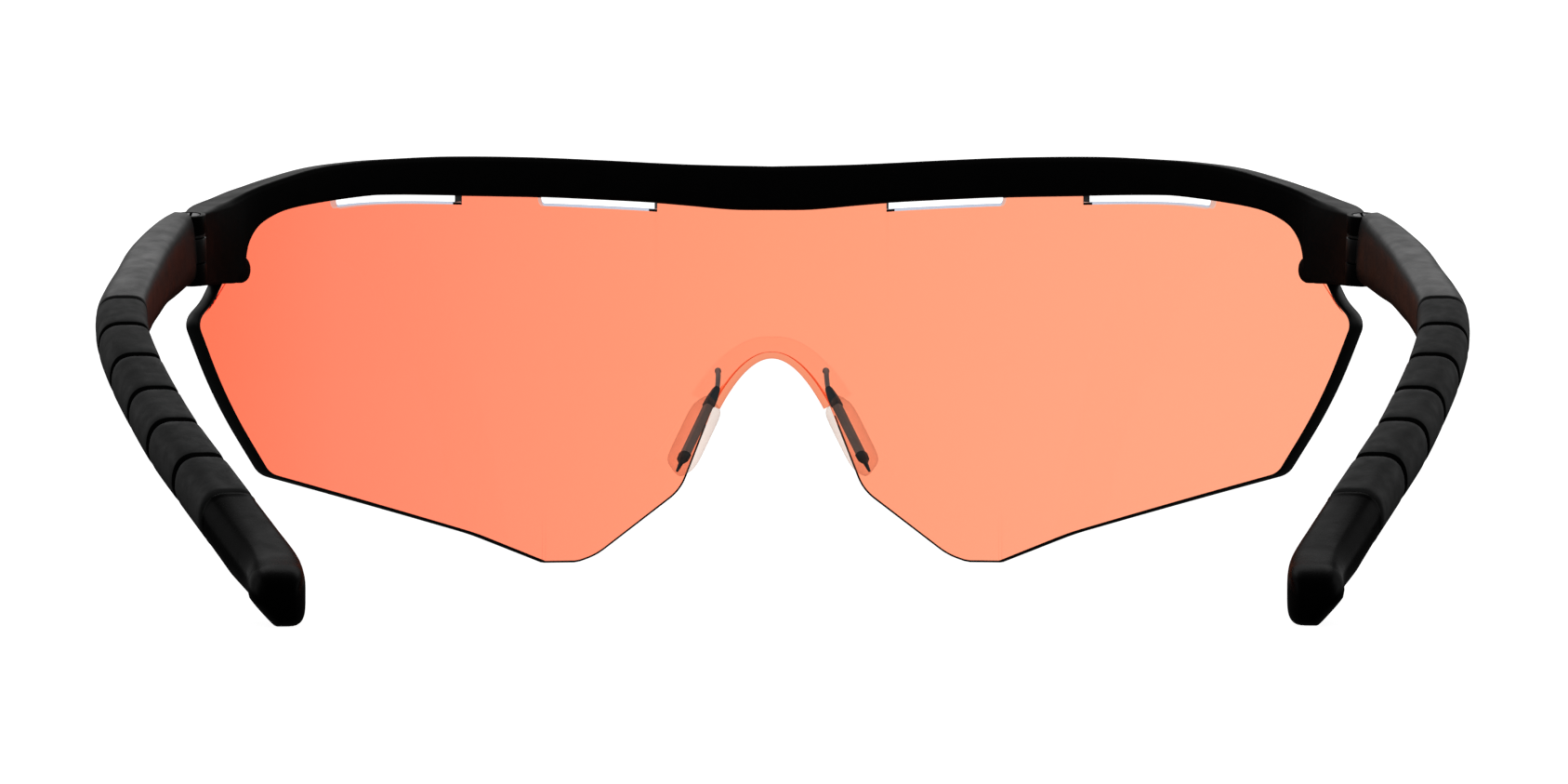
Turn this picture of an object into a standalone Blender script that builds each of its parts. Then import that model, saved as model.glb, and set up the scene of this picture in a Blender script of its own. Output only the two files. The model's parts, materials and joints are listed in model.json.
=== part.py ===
"""Wraparound sport sunglasses, open, standing on the lens tips and the temple tips.

Half-rim nylon frame, one-piece shield lens with four vent slots, clear nose clip with adjustable pads,
and two folding temples with ribbed rubber sleeves. The wearer looks along +Y, +X is the wearer's right
and +Z is up. The origin is the bottom centre of the bounding box, on the surface that it stands on.
"""

import math

import bmesh
import bpy
from mathutils import Matrix, Vector

MM = 0.001
GAP = 0.3 * MM  # between pieces that meet
FIT = 0.15 * MM  # round a pin, wire or insert

# Front: plan curve of the lens's back surface, followed by the frame
FRONT_Y = 80.3 * MM  # lens back surface, on the centre line
WRAP_RADIUS = 90 * MM
BULGE_RADIUS = 260 * MM  # vertical curve of the lens
BULGE_HEIGHT = 24 * MM
CORNER_RADIUS = 17 * MM  # where the frame turns back to the hinges
CORNER_START = math.radians(43)
CORNER_END = math.radians(83)

# Lens
LENS_THICKNESS = 2.2 * MM
LENS_IN_SLOT = 2.0 * MM
LENS_ROWS = 4
VENTS = [(14.0, 28.1), (37.6, 52.3)]  # from and to, each side of the centre, mm
VENT_HEIGHT, VENT_END = 0.8, 0.15  # mm
SLOT_TOP = 46.3  # highest that the lens reaches in the frame, mm
LENS_TOP_SLOPE = 1.1  # of its upper edge beside the outer corners
NOTCH_TOP, NOTCH_SPREAD, NOTCH_END_X = 25.6, 7.65, 7.1  # nose notch, a parabola, mm
# Lower edge from the notch outwards: x, z and corner radius, mm
LENS_LOWER = [(11.1, 8.7, 6), (21.4, 0.8, 8), (25.9, -0.75, 5), (36, 3.5, 30), (59.95, 11.1, 2.5),
              (64.75, 19.8, 60), (68.0, 29.35, 2.6), (66.15, 31.7, 6)]
LENS_SIDE_TOP = [(65.1, 34.2), (62.4, 39.5)]

# Frame section, from the lens's back surface
FRAME_INNER, FRAME_OUTER = -1.7 * MM, 3.7 * MM
END_INNER, END_OUTER = -0.7 * MM, 1.6 * MM  # at the hinges
TAPER_START, TAPER_END = 73.5 * MM, 84 * MM
FRAME_EDGE = 0.5 * MM
# Top and bottom edge against the distance from the centre line, mm
FRAME_TOP = [(0, 48.3), (10, 48.5), (22, 49.0), (31, 49.25), (41, 49.2), (48, 48.85), (53, 48.45), (59, 47.6),
             (65, 46.05), (69, 44.85), (73, 43.6), (77, 42.75), (81, 42.05), (86, 41.35), (92, 40.65)]
FRAME_BOTTOM = [(0, 43.05), (4.6, 43.1), (10.3, 43.6), (14, 43.9), (21, 44.25), (28, 44.5), (39, 44.6),
                (46, 44.6), (51, 44.4), (55.5, 43.9), (59, 43.4), (62, 42.9), (64.5, 42.3), (66.7, 41.4),
                (68.5, 40.3), (69.9, 38.8), (70.7, 37.2), (71.1, 35.0), (71.6, 34.0), (75, 33.7), (92, 33.0)]
LOBE_AT, LOBE_Z, LOBE_RADIUS = 71.5 * MM, 35.4 * MM, 1.6 * MM

# Hinge: its axis leans back with the temple's slope
SLOPE = math.radians(12.5)
HINGE_X, HINGE_BACK, HINGE_Z = 67.6 * MM, 41.0 * MM, 37.6 * MM
KNUCKLE_RADIUS = 1.75 * MM
KNUCKLE_MIDDLE = 1.4 * MM  # half height of the temple's knuckle
KNUCKLE_TOP = 4.1 * MM
SCREW_RADIUS = 0.6 * MM
SCREW_HEAD_RADIUS, SCREW_HEAD = 1.05 * MM, 0.8 * MM
INSERT_RADIUS = 1.1 * MM
WASHER = 0.25 * MM

# Temple stations: distance behind the lens, x, z, width and height of the section, mm
TEMPLE = [(36, 67.9, 38.95, 2.8, 8.5), (40, 68.1, 38.15, 2.9, 8.5), (43, 68.75, 37.65, 3.7, 8.4),
          (46, 69.5, 36.95, 4.6, 8.2), (52, 70.4, 35.65, 5.2, 7.8), (60, 70.95, 34.3, 5.4, 7.1),
          (68, 71.2, 32.65, 5.4, 6.5), (76, 71.5, 30.9, 5.5, 6.1), (83, 71.6, 28.9, 5.6, 6.0),
          (91.5, 70.5, 26.1, 5.6, 6.0), (100, 68.4, 22.8, 5.6, 6.0), (108, 65.9, 19.5, 5.6, 6.0),
          (116.5, 63.1, 16.2, 5.6, 6.1), (125, 59.7, 12.7, 5.6, 6.1), (133, 56.45, 9.4, 5.6, 6.1),
          (142, 53.35, 6.4, 5.6, 6.2), (151, 50.7, 4.0, 5.6, 6.2), (158, 49.7, 2.85, 5.6, 6.0),
          (165, 49.3, 2.4, 5.6, 5.8)]
OUTER_TAPER, END_TAPER = 0.3, 0.75  # how much narrower the section's lower outer quarter is, and at the end
END_TAPER_START = 142.0
SQUARENESS, END_SQUARENESS = 0.62, 1.1  # 1 is an ellipse, less is boxier; the second at the lower outer end
END_CHAMFER = 0.35
GRIP_START, GRIP_END = 83.0, 133.0  # distance behind the lens, mm
TIP_END, TIP_ROUND = 163.5, 6.0
TIP_SHRINK, TIP_SINK = 1.9, 0.6
GROOVES = 5
GROOVE_WIDTH, GROOVE_DEPTH = 0.8, 0.55  # mm
CORE_RADIUS = 0.8 * MM
CORE_START, CORE_END = 66.0, 152.0

# Nose clip and pads
CLIP_INSIDE, CLIP_OUTSIDE, CLIP_FOOT = 0.8, 1.9, 2.9  # band each side of the notch edge, and at its feet, mm
CLIP_BACK, CLIP_FRONT = -1.7 * MM, 3.2 * MM
CLIP_CHAMFER = 0.3
WIRE_RADIUS = 0.4 * MM
WIRE_ROOT = Vector((6.6, 0.6, 23.3))  # x, distance behind the lens, z, mm
WIRE_ROUTE = [(6.6, 0.6, 23.3), (6.6, 3.0, 23.3), (6.6, 4.3, 23.1), (6.6, 5.6, 22.5), (6.75, 7.1, 21.2),
              (7.3, 7.8, 20.1), (8.1, 8.7, 18.4)]
PAD_TOP, PAD_BOTTOM = Vector((7.85, 8.4, 19.0)), Vector((11.25, 12.1, 12.0))
PAD_THICKNESS, PAD_WIDTH = 3.0, 6.6
PAD_TURN = math.radians(14)
PAD_SLANT = 0.6  # how far its nose side sits below its outer side, mm
CORE_THICKNESS, CORE_WIDTH, CORE_ROOM = 1.0, 1.8, 0.2
CORE_TOP, CORE_BOTTOM = -7.0, 3.4  # along the pad from its middle, mm
PAD_END, PAD_SECTION, PAD_EDGE = 3.2, 0.8, 0.7  # fullness of its outline, its section and its edges

BLACK = (0.012, 0.012, 0.013)
COLOURS = {
    "nylon": (BLACK, 0.45, 0.0),
    "lens": ((1.0, 0.31, 0.17), 0.05, 0.0),
    "rubber": ((0.03, 0.031, 0.031), 0.7, 0.0),
    "tip": ((0.008, 0.008, 0.008), 0.35, 0.0),
    "clear": ((0.95, 0.72, 0.66), 0.15, 0.0),
    "steel": ((0.55, 0.55, 0.56), 0.3, 1.0),
    "plate": ((0.1, 0.12, 0.125), 0.4, 0.6),
    "brass": ((0.72, 0.53, 0.25), 0.35, 1.0),
    "washer": ((0.75, 0.75, 0.72), 0.5, 0.0),
}


# Meshes and materials


def material(name, slot):
    colour, roughness, metallic = COLOURS[slot]
    made = bpy.data.materials.new(name)
    made.use_nodes = True
    shader = made.node_tree.nodes["Principled BSDF"]
    shader.inputs["Base Color"].default_value = (*colour, 1)
    shader.inputs["Roughness"].default_value = roughness
    shader.inputs["Metallic"].default_value = metallic
    return made


def add(name, bm, slot):
    """A closed bmesh as an object with its own material, faces pointing out."""
    bmesh.ops.remove_doubles(bm, verts=bm.verts, dist=1e-7)
    bmesh.ops.recalc_face_normals(bm, faces=bm.faces)
    mesh = bpy.data.meshes.new(name)
    bm.to_mesh(mesh)
    bm.free()
    mesh.shade_smooth()
    mesh.set_sharp_from_angle(angle=math.radians(35))
    obj = bpy.data.objects.new(name, mesh)
    bpy.context.scene.collection.objects.link(obj)
    if slot:
        mesh.materials.append(material(name, slot))
    else:
        obj.hide_render = True
        obj.display_type = "WIRE"
    return obj


def boolean(obj, other, operation):
    modifier = obj.modifiers.new(other.name, "BOOLEAN")
    modifier.object = other
    modifier.operation = operation


def loft(rings):
    """A closed bmesh through rings of equal length, with a flat cap at each end."""
    bm = bmesh.new()
    loops = [[bm.verts.new(p) for p in ring] for ring in rings]
    count = len(rings[0])
    for a, b in zip(loops, loops[1:]):
        for i in range(count):
            j = (i + 1) % count
            bm.faces.new((a[i], a[j], b[j], b[i]))
    bm.faces.new(loops[0])
    bm.faces.new(loops[-1])
    return bm


def cylinder(name, start, end, radius, slot=None, sides=20):
    """A round bar between two points."""
    axis = end - start
    bm = bmesh.new()
    place = Matrix.Translation((start + end) / 2) @ axis.to_track_quat("Z", "Y").to_matrix().to_4x4()
    bmesh.ops.create_cone(bm, cap_ends=True, segments=sides, radius1=radius, radius2=radius,
                          depth=axis.length, matrix=place)
    return add(name, bm, slot)


def smooth_through(points, at):
    """Value at one place on a smooth curve through (place, value...) rows."""
    rows = [Vector(p) for p in points]
    i = max(0, min(len(rows) - 2, sum(1 for r in rows if r[0] <= at) - 1))
    a, b = rows[i], rows[i + 1]
    before, after = rows[max(0, i - 1)], rows[min(len(rows) - 1, i + 2)]
    span = b[0] - a[0]
    t = (at - a[0]) / span
    slope_a = (b - before) / (b[0] - before[0]) * span
    slope_b = (after - a) / (after[0] - a[0]) * span
    h = (2 * t**3 - 3 * t**2 + 1, t**3 - 2 * t**2 + t, -2 * t**3 + 3 * t**2, t**3 - t**2)
    return (h[0] * a + h[1] * slope_a + h[2] * b + h[3] * slope_b)[1:]


def along(route, steps):
    """Points on a smooth curve through a route's points."""
    rows = [(i, *p) for i, p in enumerate(route)]
    return [Vector(smooth_through(rows, i * (len(route) - 1) / steps)) for i in range(steps + 1)]


# Front curve


def bulge(z):
    return BULGE_RADIUS - math.sqrt(BULGE_RADIUS**2 - (z - BULGE_HEIGHT) ** 2)


def front_point(s, z, n, wrap_only=False):
    """The point s along the front curve from the centre line, at height z, n in front of the lens's back."""
    size, side = abs(s), math.copysign(1, s)
    turn = size / WRAP_RADIUS
    x, back = WRAP_RADIUS * math.sin(turn), WRAP_RADIUS * (1 - math.cos(turn))
    if turn > CORNER_START and not wrap_only:
        x, back = WRAP_RADIUS * math.sin(CORNER_START), WRAP_RADIUS * (1 - math.cos(CORNER_START))
        rest = size - CORNER_START * WRAP_RADIUS
        turn = min(CORNER_END, CORNER_START + rest / CORNER_RADIUS)
        x += CORNER_RADIUS * (math.sin(turn) - math.sin(CORNER_START))
        back += CORNER_RADIUS * (math.cos(CORNER_START) - math.cos(turn))
        rest -= (turn - CORNER_START) * CORNER_RADIUS
        x += rest * math.cos(turn)
        back += rest * math.sin(turn)
    return Vector((side * (x + n * math.sin(turn)), FRONT_Y - back - bulge(z) + n * math.cos(turn), z))


def arc_of(x):
    """Distance along the wrap curve of the place that is x from the centre line."""
    return WRAP_RADIUS * math.asin(x / WRAP_RADIUS)


# Lens


def rounded(corners, steps=4):
    """A polyline (x, z) through corners (x, z, radius), each turned into an arc."""
    line = [corners[0][:2]]
    for before, corner, after in zip(corners, corners[1:], corners[2:]):
        here = Vector(corner[:2])
        u = (Vector(before[:2]) - here).normalized()
        v = (Vector(after[:2]) - here).normalized()
        half = u.angle(v) / 2
        reach = corner[2] / math.tan(half)
        centre = here + (u + v).normalized() * (corner[2] / math.sin(half))
        start, end = here + u * reach - centre, here + v * reach - centre
        sweep = start.angle_signed(end)
        for i in range(steps + 1):
            turn = -sweep * i / steps
            c, s = math.cos(turn), math.sin(turn)
            line.append((centre.x + start.x * c - start.y * s, centre.y + start.x * s + start.y * c))
    line.append(corners[-1][:2])
    return line


def notch_z(x):
    return NOTCH_TOP - x**2 / NOTCH_SPREAD


def lens_lower_line(notch_steps=8):
    """Lower edge of the lens from the centre line to the top of its outer side, mm."""
    notch = [(NOTCH_END_X * i / notch_steps, notch_z(NOTCH_END_X * i / notch_steps)) for i in range(notch_steps)]
    return notch + rounded([(NOTCH_END_X, notch_z(NOTCH_END_X), 0), *LENS_LOWER, (*LENS_SIDE_TOP[0], 0)])


def interpolate(line, x):
    for (x0, z0), (x1, z1) in zip(line, line[1:]):
        if x0 <= x <= x1 and x1 > x0:
            return z0 + (z1 - z0) * (x - x0) / (x1 - x0)
    return line[-1][1]


def frame_edge(table, s):
    return smooth_through(table, abs(s) / MM)[0] * MM


def lens_high(x):
    """Upper edge of the lens, in the frame's slot except at the vents, mm."""
    bottom = frame_edge(FRAME_BOTTOM, arc_of(x * MM)) / MM
    if any(start + VENT_END / 2 < x < end - VENT_END / 2 for start, end in VENTS):
        return bottom - VENT_HEIGHT
    top_x, top_z = LENS_SIDE_TOP[-1]
    return min(bottom + LENS_IN_SLOT / MM, SLOT_TOP, top_z + (top_x - x) * LENS_TOP_SLOPE)


def lens_outline(grow=0.0):
    """Columns (x, low z, high z) of one half of the lens, from the centre line outwards, in mm."""
    line = lens_lower_line()
    side = max(range(len(line)), key=lambda i: line[i][0])
    lower = line[: side + 1]
    top_x, top_z = LENS_SIDE_TOP[-1]
    upper_side = [(top_x, top_z), *sorted(line[side:])]
    places = {p[0] for p in lower} | {top_x} | {float(x) for x in range(16, int(lower[-1][0]), 4)}
    for start, end in VENTS:
        places |= {start, start + VENT_END, end - VENT_END, end}
    columns = []
    for x in sorted(places):
        high = interpolate(upper_side, x) if x >= top_x else lens_high(x)
        columns.append((x, interpolate(lower, x) - grow, high + grow))
    return columns


def lens_mesh(columns, back, front, rows):
    """The lens as a bmesh: columns of one half are mirrored to the other."""
    whole = [(-x, a, b) for x, a, b in columns[:0:-1]] + columns
    bm = bmesh.new()
    sheets = []
    for n in (back, front):
        sheet = []
        for x, low, high in whole:
            s = math.copysign(arc_of(abs(x) * MM), x)
            zs = [(low + (high - low) * k / rows) * MM for k in range(rows + 1)]
            sheet.append([bm.verts.new(front_point(s, z, n, wrap_only=True)) for z in zs])
        sheets.append(sheet)
    inner, outer = sheets
    last = len(whole) - 1
    for i in range(last):
        for k in range(rows):
            for sheet in sheets:
                bm.faces.new((sheet[i][k], sheet[i + 1][k], sheet[i + 1][k + 1], sheet[i][k + 1]))
        for k in (0, rows):
            bm.faces.new((inner[i][k], inner[i + 1][k], outer[i + 1][k], outer[i][k]))
    for i in (0, last):
        for k in range(rows):
            bm.faces.new((inner[i][k], inner[i][k + 1], outer[i][k + 1], outer[i][k]))
    return bm


def stand_cutter():
    """Everything below the surface that the glasses stand on."""
    bm = bmesh.new()
    size = 200 * MM
    bmesh.ops.create_cube(bm, size=size, matrix=Matrix.Translation((0, 0, -size / 2)))
    return add("stand_cutter", bm, None)


def shield_lens():
    lens = add("shield_lens", lens_mesh(lens_outline(), 0, LENS_THICKNESS, LENS_ROWS), "lens")
    boolean(lens, stand_cutter(), "DIFFERENCE")


def lens_cutter():
    """The lens grown by the gap, to cut the slots that hold it."""
    return add("lens_cutter", lens_mesh(lens_outline(GAP / MM), -GAP, LENS_THICKNESS + GAP, LENS_ROWS), None)


# Hinge places


def hinge_place(side):
    """Matrix of a hinge: local X is across, local Y runs back along the temple, local Z is the axis."""
    back = Vector((0, -math.cos(SLOPE), -math.sin(SLOPE)))
    up = Vector((0, -math.sin(SLOPE), math.cos(SLOPE)))
    across = Vector((side, 0, 0))
    turn = Matrix((across, back, up)).transposed().to_4x4()
    return Matrix.Translation((side * HINGE_X, FRONT_Y - HINGE_BACK, HINGE_Z)) @ turn


def hinge_cylinder(name, side, low, high, radius, slot=None, sides=20):
    place = hinge_place(side)
    return cylinder(name, place @ Vector((0, 0, low)), place @ Vector((0, 0, high)), radius, slot, sides)


def hinge_box(name, side, low, high):
    place = hinge_place(side)
    bm = bmesh.new()
    centre, size = (Vector(low) + Vector(high)) / 2, Vector(high) - Vector(low)
    bmesh.ops.create_cube(bm, size=1, matrix=place @ Matrix.Translation(centre) @ Matrix.Diagonal((*size, 1)))
    return add(name, bm, None)


# Frame


def frame_ring(s):
    top, bottom = frame_edge(FRAME_TOP, s), frame_edge(FRAME_BOTTOM, s)
    e = FRAME_EDGE
    taper = min(1, max(0, (abs(s) - TAPER_START) / (TAPER_END - TAPER_START)))
    taper = taper * taper * (3 - 2 * taper)
    inner = FRAME_INNER + (END_INNER - FRAME_INNER) * taper
    outer = FRAME_OUTER + (END_OUTER - FRAME_OUTER) * taper
    round_top = e * (2 - taper)
    corners = [(inner, bottom + e), (inner + e, bottom), (outer - e, bottom), (outer, bottom + e),
               (outer, top - round_top), (outer - round_top, top), (inner + e, top), (inner, top - e)]
    return [front_point(s, z, n) for n, z in corners]


def brow_frame():
    places = [0, 5, 10, 15, 20, 25, 30, 35, 40, 45, 50, 53, 56, 59, 61.5, 63.5, 65.2, 66.6, 67.6, 68.6,
              69.4, 69.9, 70.4, 71, 71.6, 73.5, 75.5, 77.5, 79.5, 82, 85, 88]
    stations = [-s * MM for s in places[:0:-1]] + [s * MM for s in places]
    frame = add("brow_frame", loft([frame_ring(s) for s in stations]), "nylon")
    for side, label in ((-1, "left"), (1, "right")):
        s = side * LOBE_AT
        lobe = cylinder(f"{label}_lobe", front_point(s, LOBE_Z, FRAME_INNER),
                        front_point(s, LOBE_Z, FRAME_OUTER - FRAME_EDGE), LOBE_RADIUS, sides=16)
        boolean(frame, lobe, "UNION")
    boolean(frame, lens_cutter(), "DIFFERENCE")
    far = 12 * MM
    for side, label in ((-1, "left"), (1, "right")):
        behind = hinge_box(f"{label}_frame_end", side, (-far, -FIT, -far), (far, far, far))
        boolean(frame, behind, "DIFFERENCE")
        room = hinge_cylinder(f"{label}_frame_room", side, -KNUCKLE_MIDDLE - FIT,
                              KNUCKLE_MIDDLE + WASHER + 2 * FIT, KNUCKLE_RADIUS + GAP)
        boolean(frame, room, "DIFFERENCE")
        upper = hinge_cylinder(f"{label}_upper_knuckle", side, KNUCKLE_MIDDLE + WASHER + 2 * FIT, KNUCKLE_TOP,
                               KNUCKLE_RADIUS)
        lower = hinge_cylinder(f"{label}_lower_knuckle", side, -KNUCKLE_TOP, -KNUCKLE_MIDDLE - FIT,
                               KNUCKLE_RADIUS)
        boolean(frame, upper, "UNION")
        boolean(frame, lower, "UNION")
        shank = hinge_cylinder(f"{label}_frame_bore", side, -far, far, SCREW_RADIUS + FIT)
        head = hinge_cylinder(f"{label}_head_bore", side, KNUCKLE_TOP - SCREW_HEAD - FIT, far,
                              SCREW_HEAD_RADIUS + FIT)
        insert = hinge_cylinder(f"{label}_insert_bore", side, -far, -KNUCKLE_MIDDLE - 0.35 * MM,
                                INSERT_RADIUS + FIT)
        for cutter in (shank, head, insert):
            boolean(frame, cutter, "DIFFERENCE")


def hinge_hardware(side, label):
    shank = hinge_cylinder(f"{label}_hinge_screw", side, -KNUCKLE_TOP + 0.2 * MM, KNUCKLE_TOP - SCREW_HEAD / 2,
                           SCREW_RADIUS, "steel", 16)
    head = hinge_cylinder(f"{label}_screw_head", side, KNUCKLE_TOP - SCREW_HEAD, KNUCKLE_TOP - 0.05 * MM,
                          SCREW_HEAD_RADIUS, sides=16)
    boolean(shank, head, "UNION")
    slot = hinge_box(f"{label}_screw_slot", side, (-0.16 * MM, -2 * MM, KNUCKLE_TOP - 0.4 * MM),
                     (0.16 * MM, 2 * MM, KNUCKLE_TOP + MM))
    boolean(shank, slot, "DIFFERENCE")
    insert = hinge_cylinder(f"{label}_hinge_insert", side, -KNUCKLE_TOP + 0.1 * MM, -KNUCKLE_MIDDLE - 0.5 * MM,
                            INSERT_RADIUS, "brass", 16)
    bore = hinge_cylinder(f"{label}_insert_hole", side, -12 * MM, 12 * MM, SCREW_RADIUS + FIT, sides=16)
    boolean(insert, bore, "DIFFERENCE")
    low = KNUCKLE_MIDDLE + FIT
    washer = hinge_cylinder(f"{label}_hinge_washer", side, low, low + WASHER, KNUCKLE_RADIUS - 0.1 * MM, "washer",
                            16)
    boolean(washer, bore, "DIFFERENCE")


# Temples


def temple_line(d):
    """Centre, inward and upward directions of the right temple at distance d behind the lens, mm."""
    x, z = smooth_through(TEMPLE, d)[:2]
    before, after = smooth_through(TEMPLE, d - 0.5), smooth_through(TEMPLE, d + 0.5)
    line = Vector((after[0] - before[0], -1, after[1] - before[1])).normalized()
    inwards = line.cross(Vector((0, 0, 1))).normalized()
    return Vector((x, FRONT_Y / MM - d, z)), inwards, inwards.cross(line)


def on_side(side, p):
    return Vector((p.x * side, p.y, p.z)) * MM


def temple_ring(side, d, shrink=0.0, sink=0.0, sides=16):
    """Section of the temple, square to its line, smaller by shrink all round and lower inwards by sink."""
    centre, inwards, up = temple_line(d)
    centre += (inwards - up) * sink
    width, height = smooth_through(TEMPLE, d)[2:]
    a, b = width / 2 - shrink, height / 2 - shrink
    end = min(1, max(0, (d - END_TAPER_START) / (TIP_END - END_TAPER_START)))
    taper = OUTER_TAPER + (END_TAPER - OUTER_TAPER) * end
    ring = []
    for i in range(sides):
        turn = 2 * math.pi * (i + 0.5) / sides
        c, s = math.cos(turn), math.sin(turn)
        narrow = 1 - taper * max(0, -s) if c < 0 else 1
        power = SQUARENESS + (END_SQUARENESS - SQUARENESS) * end if c < 0 and s < 0 else SQUARENESS
        p = centre + inwards * a * narrow * math.copysign(abs(c) ** power, c)
        p += up * b * math.copysign(abs(s) ** power, s)
        ring.append(on_side(side, p))
    return ring


def core_ring(side, d, radius, sides=10):
    centre, inwards, up = temple_line(d)
    turns = [2 * math.pi * (i + 0.5) / sides for i in range(sides)]
    return [on_side(side, centre + (inwards * math.cos(t) + up * math.sin(t)) * radius / MM) for t in turns]


def temple_core(name, side, start, end, radius, slot=None):
    steps = int((end - start) / 5)
    return add(name, loft([core_ring(side, start + (end - start) * i / steps, radius)
                           for i in range(steps + 1)]), slot)


def temple_arm(side, label):
    far = 12 * MM
    places = [36, 39.5, 43, 46, 50, 55, 60, 65, 70, 76]
    rings = [temple_ring(side, d) for d in places]
    rings += [temple_ring(side, GRIP_START - 0.9), temple_ring(side, GRIP_START - 0.4, END_CHAMFER)]
    arm = add(f"{label}_temple_arm", loft(rings), "nylon")
    ahead = hinge_box(f"{label}_temple_end", side, (-far, -far, -far), (far, FIT, far))
    boolean(arm, ahead, "DIFFERENCE")
    stub = KNUCKLE_MIDDLE - 0.1 * MM
    for name, low, high in (("upper", stub, far), ("lower", -far, -stub)):
        room = hinge_cylinder(f"{label}_temple_{name}_room", side, low, high, KNUCKLE_RADIUS + GAP)
        boolean(arm, room, "DIFFERENCE")
    knuckle = hinge_cylinder(f"{label}_middle_knuckle", side, -KNUCKLE_MIDDLE, KNUCKLE_MIDDLE, KNUCKLE_RADIUS)
    boolean(arm, knuckle, "UNION")
    bore = hinge_cylinder(f"{label}_temple_bore", side, -far, far, SCREW_RADIUS + FIT)
    boolean(arm, bore, "DIFFERENCE")
    return arm


def grip_sleeve(side, label):
    start, end = GRIP_START, GRIP_END
    pitch = (end - start) / (GROOVES + 1)
    rings = [temple_ring(side, start, END_CHAMFER), temple_ring(side, start + 0.5)]
    for i in range(GROOVES + 1):
        if i:
            middle = start + pitch * i
            half = GROOVE_WIDTH / 2
            rings += [temple_ring(side, middle - half), temple_ring(side, middle - half / 2, GROOVE_DEPTH),
                      temple_ring(side, middle + half / 2, GROOVE_DEPTH), temple_ring(side, middle + half)]
        rings.append(temple_ring(side, start + pitch * (i + 0.5)))
    rings += [temple_ring(side, end - 0.5), temple_ring(side, end, END_CHAMFER)]
    return add(f"{label}_grip_sleeve", loft(rings), "rubber")


def temple_tip(side, label):
    start = GRIP_END + GAP / MM
    rings = [temple_ring(side, start, END_CHAMFER), temple_ring(side, start + 0.5)]
    rings += [temple_ring(side, d) for d in (139, 145, 151, 155)]
    for k in range(1, 5):
        turn = math.pi / 2 * k / 4
        closing = 1 - math.cos(turn)
        d = TIP_END - TIP_ROUND * (1 - math.sin(turn))
        rings.append(temple_ring(side, d, TIP_SHRINK * closing, TIP_SINK * closing))
    tip = add(f"{label}_temple_tip", loft(rings), "tip")
    boolean(tip, bpy.data.objects["stand_cutter"], "DIFFERENCE")
    return tip


def temple(side, label):
    bore = temple_core(f"{label}_core_bore", side, CORE_START - 0.3, CORE_END + 0.3, CORE_RADIUS + 0.2 * MM)
    for piece in (temple_arm(side, label), grip_sleeve(side, label), temple_tip(side, label)):
        boolean(piece, bore, "DIFFERENCE")
    temple_core(f"{label}_core_wire", side, CORE_START, CORE_END, CORE_RADIUS, "steel")


# Nose clip and pads


def notch_band(offset, foot_offset, steps=9):
    """Points (x, z) beside the notch edge in mm, from one foot over the top to the other."""
    half = []
    for i in range(steps + 1):
        x = NOTCH_END_X * i / steps
        normal = Vector((2 * x / NOTCH_SPREAD, 1)).normalized()
        away = offset + (foot_offset - offset) * i / steps
        half.append((x + normal.x * away, notch_z(x) + normal.y * away))
    return [(-x, z) for x, z in half[:0:-1]] + half


def clip_ring(inner, outer):
    """Section of the clip's band with its corners cut, from the inner to the outer edge."""
    cut, ring = CLIP_CHAMFER, []
    direction = (Vector(outer) - Vector(inner)).normalized()
    corners = [(inner, 0, CLIP_BACK + cut * MM), (inner, cut, CLIP_BACK), (outer, -cut, CLIP_BACK),
               (outer, 0, CLIP_BACK + cut * MM), (outer, 0, CLIP_FRONT - cut * MM), (outer, -cut, CLIP_FRONT),
               (inner, cut, CLIP_FRONT), (inner, 0, CLIP_FRONT - cut * MM)]
    for base, shift, n in corners:
        x, z = Vector(base) + direction * shift
        ring.append(front_point(math.copysign(arc_of(abs(x) * MM), x), z * MM, n, wrap_only=True))
    return ring


def nose_bridge_clip():
    inner, outer = notch_band(-CLIP_INSIDE, -CLIP_INSIDE), notch_band(CLIP_OUTSIDE, CLIP_FOOT)
    clip = add("nose_bridge_clip", loft([clip_ring(a, b) for a, b in zip(inner, outer)]), "clear")
    boolean(clip, bpy.data.objects["lens_cutter"], "DIFFERENCE")
    for side, label in ((-1, "left"), (1, "right")):
        root = pad_point(side, WIRE_ROOT - Vector((0, 0.3, 0)))
        exit_point = pad_point(side, WIRE_ROOT + Vector((0, 3, 0)))
        boolean(clip, cylinder(f"{label}_wire_bore", root, exit_point, WIRE_RADIUS + FIT, sides=12), "DIFFERENCE")


def pad_point(side, p):
    """A place given as x, distance behind the lens and z in mm."""
    return Vector((side * p[0], FRONT_Y / MM - p[1], p[2])) * MM


def wire_rings(side, radius, route):
    points = [pad_point(side, p) for p in along(route, 3 * (len(route) - 1))]
    rings, sides = [], 8
    for i, p in enumerate(points):
        line = (points[min(i + 1, len(points) - 1)] - points[max(i - 1, 0)]).normalized()
        across = line.cross(Vector((1, 0, 0))).normalized()
        up = across.cross(line)
        turns = [2 * math.pi * k / sides for k in range(sides)]
        rings.append([p + (across * math.cos(t) + up * math.sin(t)) * radius for t in turns])
    return rings


def pad_frame(side):
    """Centre of a pad and its length, thickness and width directions."""
    top, bottom = pad_point(side, PAD_TOP), pad_point(side, PAD_BOTTOM)
    length = (bottom - top).normalized()
    width = (Vector((0, -1, 0)) - length * length.dot(Vector((0, -1, 0)))).normalized()
    width.rotate(Matrix.Rotation(side * PAD_TURN, 3, length))
    return top, bottom, length, length.cross(width), width


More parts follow.
